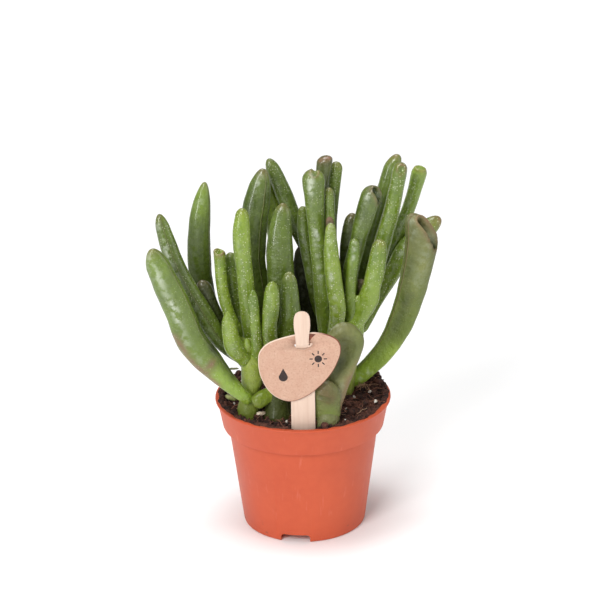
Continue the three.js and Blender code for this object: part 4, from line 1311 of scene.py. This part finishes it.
def spilled_peat():
    angles = 2 * math.pi * np.arange(SPILL_TURNS) / SPILL_TURNS
    over, under = [], []
    for share in np.linspace(0, 1, SPILL_RINGS):
        radius = SPILL_START + (spill_reach(angles) - SPILL_START) * share
        x, y = radius * np.cos(angles), radius * np.sin(angles)
        dip = before_the_stick(x, y) * STICK_DIP
        heap = np.maximum(soil_height(x, y) - SPILL_SINK, LIP_TOP + SPILL_THINNEST - dip)
        uneven = rough(x, y, 8) * SPILL_ROUGHNESS * (1 - share)
        top = LIP_TOP + SPILL_GAP + (heap - LIP_TOP) * (1 - share ** SPILL_FALL) + uneven
        over.append(np.column_stack([x, y, top]))
        under.append(np.column_stack([x, y, LIP_TOP - SPILL_UNDER - dip * (1 - share)]))
    firsts = [ring * SPILL_TURNS for ring in range(2 * SPILL_RINGS)] + [0]
    return closed_sheet("spilled_peat", np.vstack(over + under[::-1]), faces_between(firsts, SPILL_TURNS))


spill = spilled_peat()
hand_over(spill, "peat")
print("spilled faces:", len(spill.data.polygons))

# %% Build the tree that scatters crumbs
SCATTER_NUMBERS = ("Apart", "Most", "Smallest", "Largest", "Lift", "Lean")


def random_value(tree, kind, least, most, seed):
    node = add_node(tree, "FunctionNodeRandomValue", data_type=kind)
    for label, value in (("Min", least), ("Max", most), ("Seed", seed)):
        tree.links.new(value, next(s for s in node.inputs if s.name == label and s.enabled))
    return next(s for s in node.outputs if s.enabled)


def scatter_tree():
    tree, given, result = start_tree("scatter", "GeometryNodeTree", [
        ("Ground", "Geometry", None), ("Crumb", "Object", None),
        *[(label, "Float", None) for label in SCATTER_NUMBERS],
        ("Seed", "Int", None), ("Finish", "Material", None),
    ], ("Scatter", "Geometry"))
    points = add_node(tree, "GeometryNodeDistributePointsOnFaces", {
        "Mesh": given["Ground"], "Distance Min": given["Apart"], "Density Max": given["Most"],
        "Seed": given["Seed"],
    }, distribute_method="POISSON").outputs["Points"]
    lift = add_node(tree, "ShaderNodeCombineXYZ", {"Z": given["Lift"]}).outputs[0]
    raised = add_node(tree, "GeometryNodeSetPosition", {"Geometry": points, "Offset": lift})
    crumb = add_node(tree, "GeometryNodeObjectInfo", {"Object": given["Crumb"]})
    back = product(given["Lean"], -1.0)
    least, most = (
        add_node(tree, "ShaderNodeCombineXYZ", {"X": lean, "Y": lean, "Z": turn}).outputs[0]
        for lean, turn in ((back, 0.0), (given["Lean"], 2 * math.pi))
    )
    laid = add_node(tree, "GeometryNodeInstanceOnPoints", {
        "Points": raised.outputs["Geometry"], "Instance": crumb.outputs["Geometry"],
        "Rotation": random_value(tree, "FLOAT_VECTOR", least, most, given["Seed"]),
        "Scale": random_value(tree, "FLOAT", given["Smallest"], given["Largest"], given["Seed"]),
    })
    end_tree(tree, laid.outputs["Instances"], given["Finish"], result)
    return tree


scatter = scatter_tree()
print("tree:", scatter.name, len(scatter.nodes), "nodes")

# %% Shape one crumb and one fibre
STRAND_BENDS = [(-1, 0, 0), (-0.5, 0.12, 0.1), (0, -0.05, 0.16), (0.5, 0.1, 0.08), (1, -0.1, -0.05)]
STRAND_HALF, STRAND_SIDES = 0.035, 3
LUMP_REACH, LUMP_HEIGHT = (0.65, 1.25), 0.8


def lump(name, seed, detail):
    shape = bmesh.new()
    bmesh.ops.create_icosphere(shape, subdivisions=detail, radius=1)
    order = np.random.default_rng(seed)
    for vert in shape.verts:
        vert.co *= order.uniform(*LUMP_REACH)
        vert.co.z *= LUMP_HEIGHT
    return link_piece(name, kept_mesh(name, shape))


def strand(name):
    turns = [2 * math.pi * k / STRAND_SIDES for k in range(STRAND_SIDES)]
    points = [
        (x, y + STRAND_HALF * math.cos(a), z + STRAND_HALF * math.sin(a))
        for x, y, z in STRAND_BENDS for a in turns
    ]
    faces = []
    for row in range(0, len(points) - STRAND_SIDES, STRAND_SIDES):
        for k in range(STRAND_SIDES):
            a, b = row + k, row + (k + 1) % STRAND_SIDES
            faces.append((a, b, b + STRAND_SIDES, a + STRAND_SIDES))
    mesh = bpy.data.meshes.new(name)
    mesh.from_pydata(points, [], faces + [(2, 1, 0), (12, 13, 14)])
    point_outwards(mesh)
    return link_piece(name, mesh)


# %% Scatter crumbs, fibres, straw and white bits on the soil
OVER_THE_LIP, INSIDE_THE_LIP, BARE_RIM = 29.5, 25.9, 0.3
STICK_FRONT, LEVEL_ENOUGH = -24.4, 0.15
SCATTERS = {
    "soil_crumbs": (lump("crumb", 3, 1), PEAT, OVER_THE_LIP, 11,
                    (0.0011, 1.6e6, 0.0003, 0.0009, 0.0002, 3.1)),
    "soil_lumps": (lump("clod", 5, 2), PEAT, OVER_THE_LIP, 12,
                   (0.0036, 1.2e5, 0.0008, 0.0016, 0.0003, 3.1)),
    "soil_fibres": (strand("fibre_strand"), FIBRE, INSIDE_THE_LIP, 13,
                    (0.0018, 3.2e5, 0.0012, 0.0034, 0.0006, 0.35)),
    "soil_straw": (strand("straw_strand"), STRAW, INSIDE_THE_LIP, 15,
                   (0.0034, 9.0e4, 0.0008, 0.0026, 0.0008, 0.4)),
    "soil_white_bits": (lump("white_bit", 8, 1), WHITE_BIT, INSIDE_THE_LIP, 14,
                        (0.0052, 4.0e4, 0.0003, 0.0008, 0.0007, 3.1)),
}


def ground_patch(name, widest):
    shape = bmesh.new()
    shape.from_mesh(soil.data)
    shape.from_mesh(spill.data)
    hidden = []
    for face in shape.faces:
        x, y = face.calc_center_median().xy / MM
        by_the_stick = abs(x) < STICK_REACH and y < STICK_FRONT
        edge = min(widest, spill_reach(math.atan2(y, x)) - BARE_RIM)
        if face.normal.z < LEVEL_ENOUGH or math.hypot(x, y) > edge or by_the_stick:
            hidden.append(face)
    bmesh.ops.delete(shape, geom=hidden, context="FACES")
    return kept_mesh(name, shape)


for name, (crumb, finish, widest, seed, amounts) in SCATTERS.items():
    sizes = dict(zip(SCATTER_NUMBERS, amounts))
    ground = ground_patch(name, widest)
    piece = grown_by(scatter, name, ground, Crumb=crumb, Finish=finish, Seed=seed, **sizes)
    bpy.data.objects.remove(crumb)
    hand_over(piece, "peat")
    print(name, len(piece.data.polygons), "faces")


# %% [markdown]
# The stick is thin birch, cut flat with a rounded head on a narrow neck. It stands behind
# the tag and comes forward through the tag's slot. It is lofted from thin rounded bars.

# %% Recipe for the wood
def wood_finish(name, pale, warm, scale):
    finish, tree, place = new_finish(name)
    grain = mottled(stretched(place, (1.0, 1.0, 0.07)), scale, 0.3, 0.75)
    colour = blended(product(grain, 0.6), pale, warm)
    colour = tinted(colour, warm, mottled(place, 900.0, 0.55, 0.8), 0.2)
    shade_with(tree, {"Base Color": colour, "Roughness": 0.72}, bump=(grain, 0.15, 0.00006))
    return finish


BIRCH = wood_finish("birch", seen(219, 194, 176), seen(203, 173, 152), 900.0)

# %% Helpers that loft a bar
LOFT_SHARP_FROM = math.radians(30)


def thin_bar(width, half, rounding):
    reach = width / 2
    inset = min(rounding, reach * 0.9)
    outline = []
    for k, (x, y) in enumerate([(reach, -half), (reach, half), (-reach, half), (-reach, -half)]):
        cx, cy = x - math.copysign(inset, x), y - math.copysign(inset, y)
        for step in range(3):
            a = math.pi / 2 * (k - 1) + math.pi / 4 * step
            outline.append((cx + inset * math.cos(a), cy + inset * math.sin(a)))
    return outline


def loft(name, rows, finish=None):
    shape = bmesh.new()
    rings = [[shape.verts.new(Vector(p) * MM) for p in row] for row in rows]
    turns = len(rings[0])
    for low, high in zip(rings, rings[1:]):
        for k in range(turns):
            shape.faces.new((low[k], low[(k + 1) % turns], high[(k + 1) % turns], high[k]))
    shape.faces.new(rings[0][::-1])
    shape.faces.new(rings[-1])
    mesh = kept_mesh(name, shape)
    point_outwards(mesh)
    mesh.shade_smooth()
    mesh.set_sharp_from_angle(angle=LOFT_SHARP_FROM)
    if finish:
        mesh.materials.append(finish)
    return link_piece(name, mesh)


# %% Loft the stick
STICK_STATIONS = [
    (36.0, 1.5, -25.2), (38.0, 4.0, -25.2), (42.0, 8.0, -25.2), (60.0, 8.0, -25.2), (66.0, 8.0, -25.2),
    (67.5, 7.2, -25.2), (69.0, 4.9, -25.2), (70.5, 4.3, -25.2), (73.4, 4.3, -25.2), (74.1, 4.3, -25.45),
    (74.8, 4.3, -26.0), (75.5, 4.3, -26.65), (76.2, 4.3, -27.2), (76.9, 4.3, -27.38), (80.0, 4.6, -27.4),
    (81.5, 5.15, -27.4), (83.0, 5.42, -27.4), (85.0, 5.36, -27.4), (86.2, 5.0, -27.4), (87.1, 4.2, -27.4),
    (87.6, 3.2, -27.4), (87.9, 2.0, -27.4), (88.0, 0.8, -27.4),
]
STICK_HALF, STICK_ROUNDING = 0.4, 0.14
stick = loft("stick_birch", [
    [(x, y + back, height) for x, y in thin_bar(width, STICK_HALF, STICK_ROUNDING)]
    for height, width, back in STICK_STATIONS
], BIRCH)
hand_over(stick, "stick", "stick")
print("stick faces:", len(stick.data.polygons))

# %% [markdown]
# The tag is an egg-shaped piece of pressed board, cut by a hot beam that browns its edge.
# The edge is painted pale at the upper left as painted light, and scorched brown at the
# lower right, which is also painted shade. A slot lets the stick's head through. It
# carries only plain care marks, a sun and a drop, in dark brown ink.

# %% Recipe for the board and its edge, browned and painted with light and shade
def board_finish():
    finish, tree, place = new_finish("board")
    flecks = mottled(place, 1500.0, 0.45, 0.8)
    clouds = product(mottled(place, 260.0, 0.3, 0.7), 0.5)
    colour = blended(clouds, seen(198, 161, 139), seen(188, 145, 123))
    colour = tinted(colour, seen(156, 110, 88), flecks, 0.5)
    colour = tinted(colour, seen(220, 192, 174), mottled(place, 1100.0, 0.6, 0.8), 0.5)
    shade_with(tree, {"Base Color": colour, "Roughness": 0.78}, bump=(flecks, 0.25, 0.00006))
    return finish


def edge_finish():
    finish, tree, place = new_finish("board_edge")
    at = add_node(tree, "ShaderNodeSeparateXYZ", {"Vector": place}).outputs
    # the edge is painted pale at the upper left as painted light, and scorched brown at the lower right,
    # where it is also painted shade
    towards_lower_right = worked("SUBTRACT", at["X"], product(at["Z"], 0.5))
    browned_and_shaded = between(towards_lower_right, -0.038, -0.031)
    scorched = blended(mottled(place, 900.0, 0.3, 0.7), seen(104, 52, 40), seen(146, 84, 62))
    colour = blended(browned_and_shaded, seen(214, 190, 172), scorched)
    shade_with(tree, {"Base Color": colour, "Roughness": 0.75})
    return finish


BOARD = board_finish()
BOARD_EDGE = edge_finish()
BROWNED_AND_SHADED = crumb_finish("browned_shaded_edge", (104, 52, 40), (150, 88, 66), 0.75, 500.0)
INK = crumb_finish("ink", (40, 26, 24), (58, 40, 36), 0.6, 900.0)

# %% Cut the tag
TAG_OUTLINE = [
    (-14.6, 70.6), (-13.8, 64.4), (-10.4, 58.4), (-4.8, 55.5), (1, 57.2), (6.2, 61.4), (10.3, 66.8),
    (12.7, 73.6), (10.9, 78), (4.8, 80.1), (-2.6, 79.4), (-10.2, 77.1), (-13.6, 74.2),
]
SLIT = [
    (-2.5, 76.1), (-2.5, 75.3), (-1.9, 74.7), (-1.0, 74.25), (0, 74.1),
    (1.0, 74.25), (1.9, 74.7), (2.5, 75.3), (2.5, 76.1),
]
TAG_FRONT, TAG_BACK, TAG_CHAMFER = -26.7, -25.9, 0.26
CURVE_STEPS = 8
BARELY = 0.005
FACES_FRONT = 0.9


def closed_curve(corners, steps):
    points = np.array(corners, float)
    out = []
    for k in range(len(points)):
        p0, p1, p2, p3 = (points[(k + shift) % len(points)] for shift in (-1, 0, 1, 2))
        for t in np.arange(steps) / steps:
            out.append(0.5 * (2 * p1 + (p2 - p0) * t + (2 * p0 - 5 * p1 + 4 * p2 - p3) * t * t
                              + (3 * p1 - p0 - 3 * p2 + p3) * t ** 3))
    return out


def plate(name, outline, front, back, chamfer, finish=None):
    outline = np.array(outline, float)
    middle = outline.mean(axis=0)
    inset = outline + np.array([unit(middle - p) for p in outline]) * chamfer
    levels = [(front, inset), (front + chamfer, outline), (back - chamfer, outline), (back, inset)]
    return loft(name, [[(x, y, z) for x, z in edge] for y, edge in levels], finish)


tag = plate("tag_board", closed_curve(TAG_OUTLINE, CURVE_STEPS), TAG_FRONT, TAG_BACK, TAG_CHAMFER)
carve(tag, plate("slit", SLIT, TAG_FRONT - 1, TAG_BACK + 1, 2 * BARELY), "DIFFERENCE")
tag.data.materials.clear()
tag.data.materials.append(BOARD)
tag.data.materials.append(BOARD_EDGE)
for face in tag.data.polygons:
    face.material_index = 1 if abs(face.normal.y) < FACES_FRONT else 0
hand_over(tag, "tag", "tag")
print("tag faces:", len(tag.data.polygons))

# %% Lay a scorched corner with painted shadow by the neck and curl a sliver of wood
CORNER = [(2.3, 79.75), (4.5, 79.7), (3.4, 78.6), (2.3, 77.1)]
CURL = [
    (2.1, -26.85, 75.2), (2.5, -27.05, 75.7), (2.85, -27.35, 76.2), (3.0, -27.75, 76.6), (2.9, -28.05, 77.0),
]
SLIVER_WIDTH, SLIVER_HALF, SLIVER_ROUNDING = 0.9, 0.1, 0.04
LAID_ON, SUNK_IN = TAG_FRONT - 0.03, TAG_FRONT + 0.02

# the brown sheet by the neck is partly scorched board and partly painted shadow, where the board round the
# slot is pushed back
scorch_and_shadow = plate("scorched_corner", CORNER, LAID_ON, SUNK_IN, BARELY, BROWNED_AND_SHADED)
hand_over(scorch_and_shadow, "tag")
sliver_bar = thin_bar(SLIVER_WIDTH, SLIVER_HALF, SLIVER_ROUNDING)
sliver = loft("curled_sliver", [
    [(x + side, y + back, z) for side, back in sliver_bar] for x, y, z in CURL
], BIRCH)
hand_over(sliver, "stick")
print("sliver faces:", len(sliver.data.polygons))

# %% Print the care marks
SUN, SUN_RADIUS = (5.2, 70.8), 1.25
RAYS, RAY_FROM, RAY_TO, RAY_HALF = 8, 1.8, 2.9, 0.2
DROP, DROP_SIZE, DROP_OPENS, DROP_TOP = (-6.4, 64.4), 1.5, 0.45, 2.1


def circle(x, z, radius, turns=40):
    angles = [2 * math.pi * k / turns for k in range(turns)]
    return [(x + radius * math.cos(a), z + radius * math.sin(a)) for a in angles]


def ray(x, z, turn, near, far, half):
    c, s = math.cos(turn), math.sin(turn)
    corners = ((near, -half), (far, -half), (far, half), (near, half))
    return [(x + c * r - s * w, z + s * r + c * w) for r, w in corners]


def drop(x, z, size):
    outline = [p for p in circle(x, z, size, 24) if p[1] < z + size * DROP_OPENS]
    outline.sort(key=lambda p: math.atan2(p[0] - x, -(p[1] - z)))
    return outline + [(x, z + size * DROP_TOP)]


outlines = [circle(*SUN, SUN_RADIUS)]
outlines += [ray(*SUN, 2 * math.pi / RAYS * k, RAY_FROM, RAY_TO, RAY_HALF) for k in range(RAYS)]
outlines.append(drop(*DROP, DROP_SIZE))
shape = bmesh.new()
for outline in outlines:
    mark = plate("mark", outline, LAID_ON, SUNK_IN, BARELY)
    shape.from_mesh(mark.data)
    bpy.data.objects.remove(mark)
care_marks = link_piece("care_marks", kept_mesh("care_marks", shape))
care_marks.data.materials.append(INK)
hand_over(care_marks, "tag")
print("care marks:", len(care_marks.data.polygons), "faces")

# %% [markdown]
# A small shed leaf lies on the soil at the left, a cream-coloured bit of wood by the stub,
# and a dry scale hangs on the upper edge of the outer leaf. Each is shaped from a lump,
# stretched and laid where the photograph shows it. Beside the right stem a tuft of pale
# roots has come up: a handful of strands that fan out from one place.

# %% Lay the shed leaf, the cream bit and the dry scale
SHED_GREEN = crumb_finish("shed_green", (134, 142, 74), (176, 180, 116), 0.6, 420.0)
CREAM = crumb_finish("cream_wood", (196, 176, 150), (232, 216, 192), 0.8, 500.0)
DRY_GREEN = crumb_finish("dry_green", (78, 80, 52), (132, 132, 94), 0.7, 520.0)
SMALL_BITS = {
    "shed_leaf": (21, (2.7, 0.9, 1.1), -0.75, (-24.4, -4.0, 47.0), SHED_GREEN, "leaf_light"),
    "cream_bit": (22, (1.9, 0.9, 1.1), 0.3, (-13.8, -17.6, 47.2), CREAM, "peat"),
    "dry_scale": (23, (1.7, 0.6, 0.5), 0.1, (-22.9, -17.3, 63.6), DRY_GREEN, "leaf_dull"),
}
for name, (seed, size, turn, place, finish, slot) in SMALL_BITS.items():
    piece = lump(name, seed, 2)
    lay = Matrix.Translation(Vector(place) * MM) @ Matrix.Rotation(turn, 4, "Z")
    piece.data.transform(lay @ Matrix.Diagonal((*[s * MM for s in size], 1)))
    piece.data.shade_smooth()
    piece.data.materials.append(finish)
    hand_over(piece, slot)
print("small bits laid:", len(SMALL_BITS))

# %% Fan out the root tuft
ROOTS, ROOT_LENGTH, ROOT_SIZES = 22, 2.4, (0.6, 1.0)
ROOT_TURNS, ROOT_TILTS = (-2.6, -0.5), (-0.5, 0.6)
TUFT_SPREAD, TUFT_FLATNESS = 0.9, (1, 1, 0.25)
TUFT_MIDDLE = Vector((20.3, 0.5, 48.8)) * MM


def root_tuft(name):
    order = np.random.default_rng(31)
    shape = bmesh.new()
    for _ in range(ROOTS):
        root = strand("root")
        turn = Matrix.Rotation(order.uniform(*ROOT_TURNS), 4, "Z")
        turn = turn @ Matrix.Rotation(order.uniform(*ROOT_TILTS), 4, "Y")
        away = Vector(order.normal(0, TUFT_SPREAD, 3) * TUFT_FLATNESS) * MM
        size = order.uniform(*ROOT_SIZES) * ROOT_LENGTH * MM
        root.data.transform(Matrix.Translation(TUFT_MIDDLE + away) @ turn @ Matrix.Scale(size, 4))
        shape.from_mesh(root.data)
        bpy.data.objects.remove(root)
    mesh = kept_mesh(name, shape)
    mesh.materials.append(STRAW)
    return link_piece(name, mesh)


hand_over(root_tuft("root_tuft"), "peat")
print("roots:", ROOTS)

# %% [markdown]
# The floor is a plain pale sheet that stands for the studio table and isn't part of the
# plant.

# %% Lay the floor
FLOOR_REACH = 3.0
CORNERS = [(-1, -1), (1, -1), (1, 1), (-1, 1)]


def floor_finish():
    finish, tree, place = new_finish("studio_floor")
    colour = blended(mottled(place, 6.0, 0.2, 0.8), seen(252, 252, 252), seen(254, 254, 254))
    shade_with(tree, {"Base Color": colour, "Roughness": 0.9})
    return finish


floor = link_piece("studio_floor", bpy.data.meshes.new("studio_floor"))
floor.data.from_pydata([(x * FLOOR_REACH, y * FLOOR_REACH, 0) for x, y in CORNERS], [], [(0, 1, 2, 3)])
floor.data.materials.append(floor_finish())
print("floor:", 2 * FLOOR_REACH, "m wide")

# %% Round the corners of a box to six places
def plain(box):
    return [[round(value, 6) for value in corner] for corner in box]
